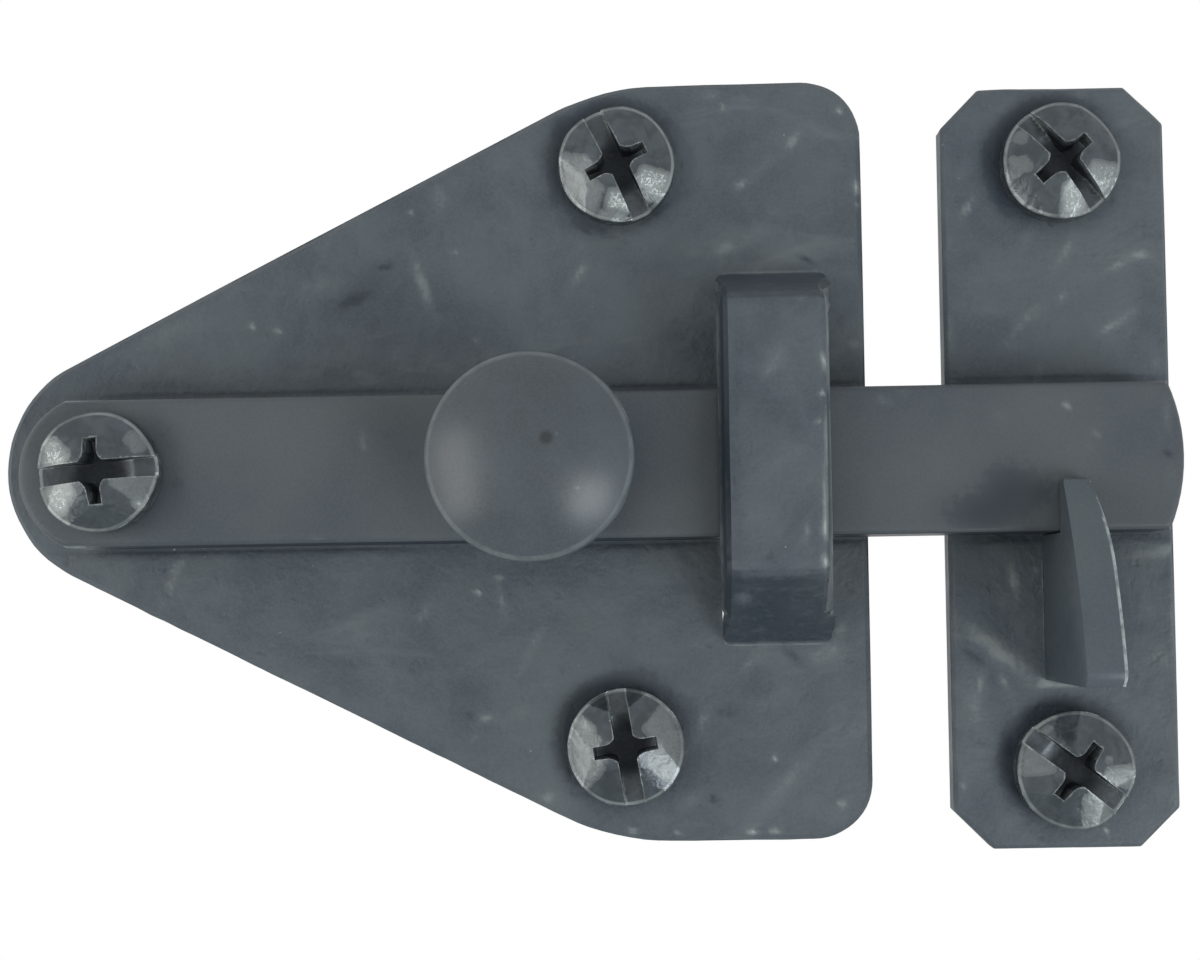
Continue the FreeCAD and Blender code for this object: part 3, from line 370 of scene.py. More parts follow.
class LatchStage(bpy.types.PropertyGroup):
    """Camera, lamps and floor."""

    camera_place: FloatVectorProperty(
        name="Camera place", description="Where the camera stands", subtype="TRANSLATION", size=3,
        default=(35.9 * MM, -117.6 * MM, -8.85 * MM),
    )
    yaw: FloatProperty(
        name="Yaw", description="Turn of the camera towards +X", default=math.radians(-1.15), subtype="ANGLE",
    )
    pitch: FloatProperty(
        name="Pitch", description="Tilt of the camera upwards", default=math.radians(1.8), subtype="ANGLE",
    )
    roll: FloatProperty(
        name="Roll", description="Roll of the camera", default=math.radians(-0.92), subtype="ANGLE",
    )
    lens: FloatProperty(name="Lens", description="Focal length for a 36 mm sensor, in mm", default=52.06)
    shift_across: FloatProperty(name="Shift across", description="Sideways lens shift", default=-0.0233)
    shift_up: FloatProperty(name="Shift up", description="Upward lens shift", default=0.0567)
    floor_drop: FloatProperty(
        name="Floor", description="Height of the floor", default=-330 * MM, unit="LENGTH",
    )
    floor_size: FloatProperty(
        name="Floor size", description="Width of the floor", default=1.0, unit="LENGTH",
    )
    sky_tint: FloatVectorProperty(
        name="Sky tint", description="Colour of the even light", subtype="COLOR", size=3, min=0, max=1,
        default=(0.88, 0.955, 1.0),
    )
    world_light: FloatProperty(name="Sky light", description="Strength of the even light", default=0.555)
    key_tint: FloatVectorProperty(
        name="Key tint", description="Colour of the main lamp", subtype="COLOR", size=3, min=0, max=1,
        default=(0.94, 0.975, 1.0),
    )
    fill_tint: FloatVectorProperty(
        name="Fill tint", description="Colour of the left lamp", subtype="COLOR", size=3, min=0, max=1,
        default=(1.0, 0.97, 0.93),
    )
    key_light: FloatProperty(name="Key light", description="Power of the main lamp, in watts", default=0.70)
    fill_light: FloatProperty(name="Fill light", description="Power of the left lamp, in watts", default=0.70)


# ---------------------------------------------------------------- shader maths


class Wire:
    """A shader socket; Python's operators on it add Math nodes."""

    def __init__(self, finish, socket):
        self.finish = finish
        self.socket = socket

    def maths(self, operation, other, reverse=False):
        first, second = (other, self) if reverse else (self, other)
        return self.finish.node("ShaderNodeMath", {"operation": operation}, {0: first, 1: second})

    def __add__(self, other):
        return self.maths("ADD", other)

    __radd__ = __add__

    def __sub__(self, other):
        return self.maths("SUBTRACT", other)

    def __rsub__(self, other):
        return self.maths("SUBTRACT", other, True)

    def __mul__(self, other):
        return self.maths("MULTIPLY", other)

    __rmul__ = __mul__


class Finish:
    """A material under construction."""

    def __init__(self, name):
        self.material = bpy.data.materials.new(name)
        self.material.use_nodes = True
        self.tree = self.material.node_tree
        self.tree.nodes.clear()
        self.shader = self.tree.nodes.new("ShaderNodeBsdfPrincipled")
        output = self.tree.nodes.new("ShaderNodeOutputMaterial")
        self.tree.links.new(self.shader.outputs[0], output.inputs["Surface"])

    def node(self, kind, settings=None, values=None, out=0):
        """Any node: its settings first, then the values or links of its sockets."""
        made = self.tree.nodes.new(kind)
        for name, value in (settings or {}).items():
            if name == "stops":
                for stop, (place, grey) in zip(made.color_ramp.elements, value):
                    stop.position = place
                    stop.color = (grey, grey, grey, 1)
            else:
                setattr(made, name, value)
        for key, value in (values or {}).items():
            self.put(made.inputs[key], value)
        return Wire(self, made.outputs[out])

    def put(self, socket, value):
        if isinstance(value, Wire):
            self.tree.links.new(value.socket, socket)
        elif hasattr(value, "__len__") and len(value) == 3 and socket.type == "RGBA":
            socket.default_value = (*value, 1)
        else:
            socket.default_value = value

    def set(self, name, value):
        self.put(self.shader.inputs[name], value)

    def place(self):
        return self.node("ShaderNodeTexCoord", out="Object")

    def turned(self, angle, stretch):
        """Object coordinates turned about Y and stretched."""
        settings = {"vector_type": "POINT"}
        values = {"Vector": self.place(), "Rotation": (0, angle, 0), "Scale": stretch}
        return self.node("ShaderNodeMapping", settings, values)

    def grain(self, scale, detail=2.0, rough=0.5, at=None, twist=0.0):
        """Noise from 0 to 1."""
        values = {"Vector": at or self.place(), "Scale": scale, "Detail": detail, "Roughness": rough}
        values["Distortion"] = twist
        return self.node("ShaderNodeTexNoise", {}, values, out="Fac")

    def layer(self, name):
        """A value that the mesh carries at its points."""
        settings = {"attribute_type": "GEOMETRY", "attribute_name": name}
        return self.node("ShaderNodeAttribute", settings, out="Fac")

    def rise(self, value, low, high):
        """0 below low, 1 above high and smooth between."""
        settings = {"interpolation_type": "SMOOTHSTEP"}
        return self.node("ShaderNodeMapRange", settings, {"Value": value, "From Min": low, "From Max": high})

    def blend(self, share, first, second):
        """A colour between two, by a share from 0 to 1."""
        values = {"Factor": share, 6: first, 7: second}
        return self.node("ShaderNodeMix", {"data_type": "RGBA", "clamp_factor": True}, values, out=2)

    def bump(self, height, strength, distance):
        values = {"Height": height, "Strength": strength, "Distance": distance}
        self.set("Normal", self.node("ShaderNodeBump", {}, values, out="Normal"))

    def marked(self, base, ragged, scuff, bright):
        """The base colour with the mesh's light and dark marks, painted shadows and highlights among them,
        their edges made ragged.
        """
        mark = self.layer("mark")
        torn = (ragged - 0.5) * 0.9
        light = mark * 0.6 + self.rise(mark + torn, 0.14, 0.55) * 0.45
        dark = (0 - mark) * 0.9 + self.rise(torn - mark, 0.2, 0.45) * 0.25
        base = self.blend(light, base, scuff)
        base = self.blend(dark, base, SMUDGE_AND_SHADE_TONE)
        return self.blend(self.rise(mark + torn * 0.5, 0.6, 0.95) * 0.85, base, bright)

    def rim_highlighted(self, base, ragged, bright, amount):
        """A painted highlight: the base colour with a thin light ring just inside a round rim, where the rim
        catches the light.
        """
        rim = self.layer("rim")
        ring = self.rise(rim, 0.935, 0.955) * (1 - self.rise(rim, 0.98, 1.0))
        return self.blend(ring * amount * (0.5 + 0.5 * self.rise(ragged, 0.35, 0.6)), base, bright)

    def worn_and_sheened(self, base, ragged, bright, amount):
        """The base colour with its sharp edges lighter: bare from use, and a painted highlight of the light
        they catch.
        """
        edge = self.rise(self.layer("edge"), 0.3, 0.9) * (0.35 + 0.65 * self.rise(ragged, 0.35, 0.6))
        return self.blend(edge * amount, base, bright)


def shade_of(colour, factor, warmth=0.0):
    """A lighter or darker tone of a colour, warmer or cooler by a share."""
    tints = (1 + warmth, 1, 1 - warmth)
    return tuple(min(1.0, channel * factor * tint) for channel, tint in zip(colour, tints))


def forged_black(name, colour, scuff, bright):
    """Satin black over hammered iron: clouds, slanting streaks, hollows, dust, painted shadows, and edges bare
    from use with a painted highlight.
    """
    finish = Finish(name)
    clouds = finish.grain(130, 4, 0.55, twist=0.5)
    patches = finish.grain(430, 3, 0.6, twist=0.3)
    slant = finish.turned(math.radians(48), (0.35, 1, 1))
    streaks = finish.rise(finish.grain(300, 4, 0.6, at=slant, twist=0.5), 0.56, 0.78)
    hollows = finish.rise(finish.grain(900, 2, 0.5), 0.62, 0.80)
    dust = finish.rise(finish.grain(2400, 1, 0.5), 0.81, 0.85)
    fine = finish.grain(5200, 2, 0.7)
    dim, light = shade_of(colour, 0.74, -0.04), shade_of(colour, 1.2, 0.06)
    base = finish.blend(finish.rise(clouds, 0.32, 0.68), dim, light)
    base = finish.blend(finish.rise(patches, 0.35, 0.75) * 0.45, base, shade_of(colour, 1.5, 0.04))
    base = finish.blend(streaks * 0.30, base, scuff)
    base = finish.blend(hollows * 0.30, base, shade_of(colour, 0.4))
    base = finish.blend(finish.rise(fine, 0.35, 0.65) * 0.20, base, shade_of(colour, 1.9))
    ragged = finish.grain(1500, 4, 0.65, twist=0.3)
    base = finish.marked(base, ragged, scuff, bright)
    base = finish.blend(dust * 0.35, base, bright)
    # Lighter edges: bare from use, and a painted highlight.
    base = finish.worn_and_sheened(base, finish.grain(800, 2, 0.6), bright, 0.2)
    finish.set("Base Color", base)
    finish.set("Roughness", 0.40 + 0.26 * patches + 0.06 * fine)
    height = clouds * 1.0 + patches * 0.5 + ragged * 0.12 + fine * 0.05 - hollows * 0.15 + streaks * 0.08
    finish.bump(height + finish.layer("mark") * 0.25, 0.8, 0.34 * MM)
    return finish.material


def smooth_black(name, colour, scuff, bright, wear, roughness=0.42):
    """Satin black over smooth iron, with marks, painted shadows, and edges bare from use with a painted
    highlight.
    """
    finish = Finish(name)
    clouds = finish.grain(110, 3, 0.5)
    patches = finish.grain(900, 3, 0.6)
    fine = finish.grain(5200, 2, 0.7)
    rub = finish.rise(finish.grain(500, 3, 0.65, twist=0.6), 0.66, 0.86)
    dim, light = shade_of(colour, 0.8, -0.04), shade_of(colour, 1.14, 0.06)
    base = finish.blend(finish.rise(clouds, 0.32, 0.68), dim, light)
    base = finish.blend(rub * 0.3, base, scuff)
    base = finish.blend(finish.rise(fine, 0.35, 0.65) * 0.22, base, shade_of(colour, 1.7))
    base = finish.marked(base, finish.grain(1700, 4, 0.65), scuff, bright)
    # Lighter edges: bare from use, and a painted highlight.
    base = finish.worn_and_sheened(base, finish.grain(1500, 2, 0.6), bright, wear)
    finish.set("Base Color", base)
    finish.set("Roughness", roughness + 0.12 * patches)
    finish.bump(clouds * 0.4 + patches * 0.25 + fine * 0.1, 0.4, 0.12 * MM)
    return finish.material


def knob_black(name, colour, scuff, bright, pit):
    """The turned knob's satin black, with one small pit in its dome."""
    finish = Finish(name)
    clouds = finish.grain(260, 3, 0.5)
    fine = finish.grain(5200, 2, 0.7)
    chips = finish.rise(finish.grain(1300, 2, 0.5), 0.74, 0.80)
    places = {0: finish.place(), 1: pit}
    away = finish.node("ShaderNodeVectorMath", {"operation": "DISTANCE"}, places, out="Value")
    hollow = 1 - finish.rise(away + 0.0003 * clouds, 0.0003, 0.0007)
    base = finish.blend(finish.rise(clouds, 0.3, 0.7), shade_of(colour, 0.85), shade_of(colour, 1.12))
    base = finish.blend(finish.rise(fine, 0.35, 0.65) * 0.25, base, shade_of(colour, 1.7))
    base = finish.blend(chips * 0.4, base, scuff)
    base = finish.blend(hollow * 0.8, base, shade_of(colour, 0.2))
    # A painted highlight: a thin light ring inside the knob's rim.
    base = finish.rim_highlighted(base, finish.grain(900, 2, 0.6), bright, 0.16)
    finish.set("Base Color", base)
    finish.set("Roughness", 0.30 + 0.08 * clouds)
    finish.bump(clouds * 0.4 + fine * 0.08 - hollow * 0.6, 0.35, 0.14 * MM)
    return finish.material


def oxide_black(name, colour, bright):
    """Glossy black oxide with an uneven skin, dark recesses, and painted highlights on its edges, rims and
    facets, the edges bare from use too.
    """
    finish = Finish(name)
    swell = finish.grain(1100, 2, 0.5, twist=0.6)
    fine = finish.grain(4000, 2, 0.6)
    base = finish.blend(finish.rise(swell, 0.3, 0.7), shade_of(colour, 0.8), shade_of(colour, 1.25))
    # Painted highlights: lighter edges, bare from use and lit; a thin light ring inside the rims; light patches
    # on the facets, where the lamps and the white surroundings reflect.
    base = finish.worn_and_sheened(base, finish.grain(1800, 2, 0.6), bright, 0.45)
    base = finish.rim_highlighted(base, finish.grain(700, 2, 0.6), bright, 0.42)
    mark = finish.layer("mark")
    ragged = finish.grain(900, 3, 0.7, twist=1.5)
    facet_sheen = finish.grain(2600, 3, 0.7, twist=2.5)
    shown = finish.rise(mark * (1 + 2.4 * (ragged - 0.5)), 0.12, 0.19) * (0.12 + 0.75 * mark)
    base = finish.blend(shown * (0.3 + 1.2 * facet_sheen), base, shade_of(bright, 0.72))
    base = finish.blend(finish.rise(mark * facet_sheen, 0.48, 0.55) * 0.8, base, shade_of(bright, 1.5))
    recess = finish.rise(0 - mark, 0.05, 0.9)
    base = finish.blend(recess * (0.7 + 0.35 * fine), base, RECESS)
    finish.set("Base Color", base)
    finish.set("Roughness", 0.14 + 0.16 * fine + 0.4 * recess + 0.2 * shown)
    finish.set("Metallic", 0.4)
    finish.bump(swell * 0.9 + fine * 0.06, 0.5, 0.12 * MM)
    return finish.material


# ---------------------------------------------------------------- shapes


def clamp(value, low=0.0, high=1.0):
    return min(high, max(low, value))


def shift(moves):
    """Move the points, once the moves of all are known."""
    for vert, move in moves:
        vert.co += move


def shades_of(colours, piece):
    """The piece's own black, and the greys of its scuffs, bare spots and painted highlights."""
    return tuple(getattr(colours, piece)), tuple(colours.scuff), tuple(colours.bright)


def copy_of(node):
    """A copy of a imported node, with its points welded and its flat faces whole."""
    shape = bmesh.new()
    shape.from_mesh(frame["nodes"][node].data)
    bmesh.ops.remove_doubles(shape, verts=shape.verts, dist=WELD)
    bmesh.ops.dissolve_limit(shape, angle_limit=FLAT_ANGLE, verts=shape.verts, edges=shape.edges)
    return shape


def ease(shape, width, segments=2, kept=()):
    """Round the hard edges, but not the kept ones."""
    joined = [edge for edge in shape.edges if len(edge.link_faces) == 2 and edge not in kept]
    hard = [edge for edge in joined if edge.calc_face_angle() > HARD_ANGLE]
    bmesh.ops.bevel(
        shape, geom=hard, offset=width, offset_type="OFFSET", segments=segments, profile=0.5,
        affect="EDGES", material=-1, clamp_overlap=True,
    )


def slice_front(shape, step, facing):
    """Cut the faces whose normals have a Y below the given one into a grid, moved by a share of its step."""
    moved = 0.13
    faces = [face for face in shape.faces if face.normal.y < facing]
    edges = {edge for face in faces for edge in face.edges}
    verts = {vert for edge in edges for vert in edge.verts}
    geom = faces + list(edges) + list(verts)
    for axis in (0, 2):
        low = min(vert.co[axis] for vert in verts)
        high = max(vert.co[axis] for vert in verts)
        along = Vector((axis == 0, 0, axis == 2))
        for cut in range(1, int((high - low) / step)):
            place = along * (low + (cut + moved) * step)
            geom = bmesh.ops.bisect_plane(shape, geom=geom, dist=WELD, plane_co=place, plane_no=along)["geom"]
    bmesh.ops.dissolve_degenerate(shape, dist=2 * WELD, edges=shape.edges)
    shape.normal_update()


def lies_within(vert, opening):
    """Is the point on the plate and in the opening, or at its outline?"""
    low, high = opening
    near = 0.1 * MM
    across = low.x - near < vert.co.x < high.x + near
    return across and low.z - near < vert.co.z < high.z + near and vert.co.y > PLATE_FACE


def cut_across(shape, axis, places):
    """Cut the whole shape at places along an axis, so that only its edges carry the lighter edge band, bare
    from use and painted highlight.
    """
    along = Vector((axis == 0, axis == 1, axis == 2))
    for place in places:
        geom = shape.verts[:] + shape.edges[:] + shape.faces[:]
        bmesh.ops.bisect_plane(shape, geom=geom, dist=WELD, plane_co=along * place, plane_no=along)
    shape.normal_update()


def note_edges(shape):
    """Let each point carry how sharp its edges are, for the lighter edges: bare from use and painted highlight.
    """
    layer = shape.verts.layers.float.new("edge")
    for vert in shape.verts:
        sharpest = max((edge.calc_face_angle(0) for edge in vert.link_edges), default=0)
        vert[layer] = clamp((sharpest - WEAR_AND_SHEEN_ANGLE) / WEAR_AND_SHEEN_STEP)


def head_of(screw):
    """The front, the middle and the radius of a screw's head."""
    low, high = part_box(screw)
    return low.y, (low + high) / 2, (high.x - low.x) / 2


def note_rim(shape, middle, radius):
    """Let each point carry how far out it lies on a round head, 1 at its rim and 1.2 at most."""
    layer = shape.verts.layers.float.new("rim")
    for vert in shape.verts:
        vert[layer] = min(1.2, math.hypot(vert.co.x - middle.x, vert.co.z - middle.z) / radius)


def note_marks(shape, marks, depths):
    """Let each point between two depths carry the marks that lie over it."""
    front, back = depths
    layer = shape.verts.layers.float.get("mark") or shape.verts.layers.float.new("mark")
    rows = []
    for across, up, length, width, slant, amount in marks:
        turn = math.radians(slant)
        length, width = max(length, LEAST_MARK) * MM, max(width, LEAST_MARK) * MM
        reach = MARK_REACH * max(length, width)
        rows.append((across * MM, up * MM, length, width, math.cos(turn), math.sin(turn), amount, reach))
    for vert in shape.verts:
        if not front < vert.co.y < back or vert.normal.y > 0:
            continue
        total = vert[layer]
        for across, up, length, width, cos, sin, amount, reach in rows:
            x, z = vert.co.x - across, vert.co.z - up
            if abs(x) < reach and abs(z) < reach:
                along, aside = (x * cos + z * sin) / length, (z * cos - x * sin) / width
                total += amount * math.exp(-(along**2) - aside**2)
        vert[layer] = clamp(total, -1.0, 1.0)


def hammer(shape, depth):
    """Sink the front and the rim of a plate by uneven hollows, never outwards."""
    moves = []
    elsewhere = Vector((7, 3, 5))
    for vert in shape.verts:
        if vert.normal.y > 0.5:
            continue
        wide = noise.noise(vert.co * WIDE_WAVE)
        close = noise.noise(vert.co * CLOSE_WAVE + elsewhere)
        hollow = clamp(0.5 + 0.75 * wide + 0.35 * close)
        moves.append((vert, vert.normal * (-depth * hollow)))
    shift(moves)


def wave_outline(shape, depth, opening):
    """Draw the cut outline in by uneven amounts, all but the opening's."""
    moves = []
    sideways = 0.55
    for vert in shape.verts:
        outward = Vector((vert.normal.x, 0, vert.normal.z))
        if outward.length > sideways and vert.co.y > PLATE_FACE and not lies_within(vert, opening):
            place = Vector((vert.co.x, 0, vert.co.z))
            wave, nicks = noise.noise(place * OUTLINE_WAVE), noise.noise(place * OUTLINE_NICKS)
            moves.append((vert, outward.normalized() * (-depth * clamp(0.5 + 0.6 * wave + 0.4 * nicks))))
    shift(moves)


def finished(name, shape, material, node=None, body=None):
    """Make the shape an object of the scene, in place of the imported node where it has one.

    The solids' own normals don't fit the cut faces, so they go.
    """
    mesh = bpy.data.meshes.new(name)
    shape.to_mesh(mesh)
    shape.free()
    normals = mesh.attributes.get("custom_normal")
    if normals:
        mesh.attributes.remove(normals)
    for face in mesh.polygons:
        face.use_smooth = face.area < WIDE_FACE
    mesh.set_sharp_from_angle(angle=CREASE_ANGLE)
    mesh.materials.append(material)
    piece = bpy.data.objects.new(name, mesh)
    bpy.context.scene.collection.objects.link(piece)
    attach(piece, body or BODY_OF[node])
    if node:
        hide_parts(node)
    return piece


def settings():
    scene = bpy.context.scene
    return scene.latch_sizes, scene.latch_colours, scene.latch_stage


# ---------------------------------------------------------------- operators


class LATCH_OT_plates(bpy.types.Operator):
    """Forge the backplate with its bridge, and the strike plate"""

    bl_idname = "latch.plates"
    bl_label = "Plates"

    def execute(self, context):
        sizes, colours, _ = settings()
        shades = shades_of(colours, "plate")
        rim_cuts = (-1.35 * MM, -0.45 * MM)
        for node, marks in (("backplate", PLATE_MARKS_AND_SHADOWS + CONTACT_SHADOWS), ("strike_plate", STRIKE_MARKS_AND_SHADOWS)):
            shape = copy_of(node)
            opening = self.opening(shape, node)
            if node == "backplate":
                self.lean_bridge(shape, sizes)
            inner = {edge for edge in shape.edges if all(lies_within(vert, opening) for vert in edge.verts)}
            ease(shape, sizes.edge_ease, kept=inner)
            cut_across(shape, 1, rim_cuts)
            slice_front(shape, sizes.plate_grid, -0.3)
            note_edges(shape)
            note_marks(shape, marks, PLATE_DEPTHS)
            if node == "backplate":
                self.shade_bridge(shape)
                note_marks(shape, BRIDGE_MARKS_SHADE_AND_GLINTS, BRIDGE_DEPTHS)
            self.shade_seats(shape)
            hammer(shape, sizes.forge_depth)
            wave_outline(shape, sizes.outline_wave, opening)
            finished(node + "_dressed", shape, forged_black(node + "_forged", *shades), node)
        return {"FINISHED"}

    def opening(self, shape, node):
        """The box of the bridge's window or of the catch's slot, whose edges stay sharp."""
        if node == "strike_plate":
            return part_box("catch")
        bridge = [vert.co for vert in shape.verts if vert.co.y < PLATE_FACE]
        low = Vector(min(place[axis] for place in bridge) for axis in range(3))
        high = Vector(max(place[axis] for place in bridge) for axis in range(3))
        return low, high

    def lean_bridge(self, shape, sizes):
        """Lancing left the bridge leaning to the left, with sides that spread towards its back.

        The backs of its legs are as wide as the window that they came out of.
        """
        slack, margin = 0.03 * MM, 0.13 * MM
        # Heights in mm above the bridge's foot.
        lean_height, margin_height, flare_foot, flare_height = 4, 0.6, 2.4, 2.2
        bridge = [vert for vert in shape.verts if vert.co.y < PLATE_FACE]
        left, right = min(vert.co.x for vert in bridge), max(vert.co.x for vert in bridge)
        middle, root = (left + right) / 2, (right - left) / 2 - slack
        shape.normal_update()
        moves = []
        for vert in bridge:
            height = -vert.co.y / MM - BRIDGE_FOOT
            place = vert.co.x - sizes.bridge_lean * min(1.0, height / lean_height)
            inward = -1 if vert.co.z > 0 else 1
            if any(face.normal.y > 0.2 or face.normal.z * inward > 0.3 for face in vert.link_faces):
                side = 1 if vert.co.x > middle else -1
                share = clamp((height - flare_foot) / flare_height)
                width = max(root + margin * min(1.0, height / margin_height), abs(vert.co.x - middle))
                leg = middle + side * width
                place = share * (place + side * sizes.bridge_flare) + (1 - share) * leg
            moves.append((vert, place))
        for vert, place in moves:
            vert.co.x = place

    def shade_bridge(self, shape):
        """Painted shade: the bridge's legs and left side are darkened, and its front a little."""
        upper_leg, lower_leg, left_side, front = -0.4, -0.42, -0.6, -0.08
        legs_from, side_from, front_from = -2.3 * MM, -2.6 * MM, -9 * MM
        layer = shape.verts.layers.float["mark"]
        for vert in shape.verts:
            if vert.co.y < legs_from and vert.normal.y < 0.1 and abs(vert.normal.z) > 0.3:
                vert[layer] = upper_leg if vert.co.z > 0 else lower_leg
            if vert.co.y < side_from and vert.normal.x < -0.6:
                vert[layer] = left_side
            if vert.co.y < front_from and vert.normal.y < -0.9:
                vert[layer] = front

    def shade_seats(self, shape):
        """Painted shadow round the screw heads, darker to their upper left, away from the key lamp."""
        # In shares of a head's radius: the start, the end, how far it is full and how soon it fades.
        inner, outer, full, fade_out = 0.8, 1.6, 1.05, 0.34
        even_amount, side_amount = 0.5, 0.28
        layer = shape.verts.layers.float["mark"]
        for screw in SCREWS:
            _, middle, radius = head_of(screw)
            for vert in shape.verts:
                x, z = vert.co.x - middle.x, vert.co.z - middle.z
                away = math.hypot(x, z)
                on_plate = vert.normal.y < -0.5 and vert.co.y > -3 * MM
                if on_plate and radius * inner < away < radius * outer:
                    side = even_amount + side_amount * (z - x) / away
                    fade = 1 - clamp((away / radius - full) / fade_out)
                    vert[layer] = max(-1.0, vert[layer] - side * fade)


class LATCH_OT_bar(bpy.types.Operator):
    """Ease the latch bar's edges and give it its satin black"""

    bl_idname = "latch.bar"
    bl_label = "Bar"

    def execute(self, context):
        sizes, colours, _ = settings()
        underside = -0.6
        side_cut, left_cut, right_cut = 0.5 * MM, 6.5 * MM, 2.5 * MM
        shape = copy_of("latch_bar")
        ease(shape, sizes.edge_ease * 0.8)
        low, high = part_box("latch_bar")
        cut_across(shape, 1, (low.y + side_cut, high.y - side_cut))
        cut_across(shape, 0, (low.x + left_cut, high.x - right_cut))
        slice_front(shape, sizes.bar_grid, -0.9)
        note_edges(shape)
        note_marks(shape, BAR_MARKS_AND_SHADOWS, BAR_DEPTHS)
        layer = shape.verts.layers.float["mark"]
        # Painted shade: the faces that look down are darkened.
        for vert in shape.verts:
            if vert.normal.z < -0.8:
                vert[layer] = underside
        material = smooth_black("bar_satin", *shades_of(colours, "bar"), 0.5)
        finished("latch_bar_dressed", shape, material, "latch_bar")
        return {"FINISHED"}


class LATCH_OT_knob(bpy.types.Operator):
    """Turn the knob from its profile"""

    bl_idname = "latch.knob"
    bl_label = "Knob"

    def execute(self, context):
        sizes, colours, _ = settings()
        low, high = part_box("knob")
        middle = (low.x + high.x) / 2
        radius = (high.x - low.x) / 2
        crown = low.y
        rim_front = crown + sizes.dome_rise
        rim_back = rim_front + sizes.knob_rim
        foot = high.y - sizes.tenon_length
        dome = (radius**2 + sizes.dome_rise**2) / (2 * sizes.dome_rise)
        shape = bmesh.new()
        top = shape.verts.new((middle, crown, 0))
        swing = math.asin(radius / dome)
        arc_steps, turn_steps = 20, 96
        arc = bmesh.ops.spin(
            shape, geom=[top], cent=(middle, crown + dome, 0), axis=(0, 0, 1), angle=swing, steps=arc_steps,
        )
        last = next(item for item in arc["geom_last"] if isinstance(item, bmesh.types.BMVert))
        steps = [
            (radius, rim_back),
            (sizes.knob_neck, foot - sizes.neck_length),
            (sizes.knob_neck, foot),
            (sizes.tenon_radius, foot),
            (sizes.tenon_radius, high.y - sizes.rivet_flare),
            (sizes.tenon_radius + sizes.rivet_flare, high.y),
            (0.0, high.y),
        ]
        corners = [last]
        for reach, along in steps:
            grown = bmesh.ops.extrude_vert_indiv(shape, verts=[last])
            last = grown["verts"][0]
            last.co = (middle + reach, along, 0)
            corners.append(last)
        front_round, back_round, throat_round = 0.3 * MM, 0.25 * MM, 1.7 * MM
        for corner, width in zip(corners, (front_round, back_round, throat_round)):
            bmesh.ops.bevel(
                shape, geom=[corner], offset=width, offset_type="OFFSET", segments=6, profile=0.5,
                affect="VERTICES", material=-1,
            )
        bmesh.ops.spin(
            shape, geom=shape.verts[:] + shape.edges[:], cent=(middle, 0, 0), axis=(0, 1, 0),
            angle=math.tau, steps=turn_steps, use_merge=True,
        )
        bmesh.ops.remove_doubles(shape, verts=shape.verts, dist=WELD)
        bmesh.ops.recalc_face_normals(shape, faces=shape.faces)
        note_rim(shape, Vector((middle, 0, 0)), radius)
        pit = (middle + 1.2 * MM, crown + 0.1 * MM, 0.9 * MM)
        material = knob_black("knob_satin", *shades_of(colours, "knob"), pit)
        finished("knob_dressed", shape, material, "knob")
        return {"FINISHED"}


class LATCH_OT_catch(bpy.types.Operator):
    """Ease the catch's edges and give it its satin black"""

    bl_idname = "latch.catch"
    bl_label = "Catch"

    def execute(self, context):
        sizes, colours, _ = settings()
        left_edge_share, left_shade = 0.25, -0.26
        shape = copy_of("catch")
        self.narrow_nose(shape, sizes)
        rubbed = [edge for edge in shape.edges if self.is_rubbed(edge)]
        bmesh.ops.bevel(
            shape, geom=rubbed, offset=sizes.catch_wear, offset_type="OFFSET", segments=4, profile=0.5,
            affect="EDGES", material=-1, clamp_overlap=False,
        )
        ease(shape, sizes.edge_ease, 3)
        note_edges(shape)
        mark = shape.verts.layers.float.new("mark")
        edge = shape.verts.layers.float["edge"]
        # Painted light and shade on the catch: its left side faces away from the key lamp, so its edges keep a
        # quarter of their lightening and its faces are darkened, while the right edge of the front is lit in
        # full as a painted highlight.
        for vert in shape.verts:
            x, y, z = vert.normal
            if x < -0.1:
                vert[edge] *= left_edge_share
            if x < -0.7:
                vert[mark] = left_shade
            if x > 0.1:
                vert[edge] = float(0.3 < x < 0.95 and y < -0.15 and z < 0.5)
        material = smooth_black("catch_satin", *shades_of(colours, "catch"), 0.9, 0.38)
        finished("catch_dressed", shape, material, "catch")
        return {"FINISHED"}

    def narrow_nose(self, shape, sizes):
        """The right side was ground off towards the tip."""
        low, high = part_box("catch")
        cuts = 10
        cut_across(shape, 2, [high.z - sizes.nose_length * cut / cuts for cut in range(1, cuts + 1)])
        for vert in shape.verts:
            if vert.co.x > (low.x + high.x) / 2:
                near = max(0.0, 1 - (high.z - vert.co.z) / sizes.nose_length)
                vert.co.x -= sizes.nose_taper * near**2
        shape.normal_update()

    def is_rubbed(self, edge):
        """Is it an edge between the ramp and the right side, where the bar rubs?"""
        faces = sorted(edge.link_faces, key=lambda face: face.normal.x)
        return len(faces) == 2 and faces[1].normal.x > 0.85 and faces[0].normal.y < -0.2


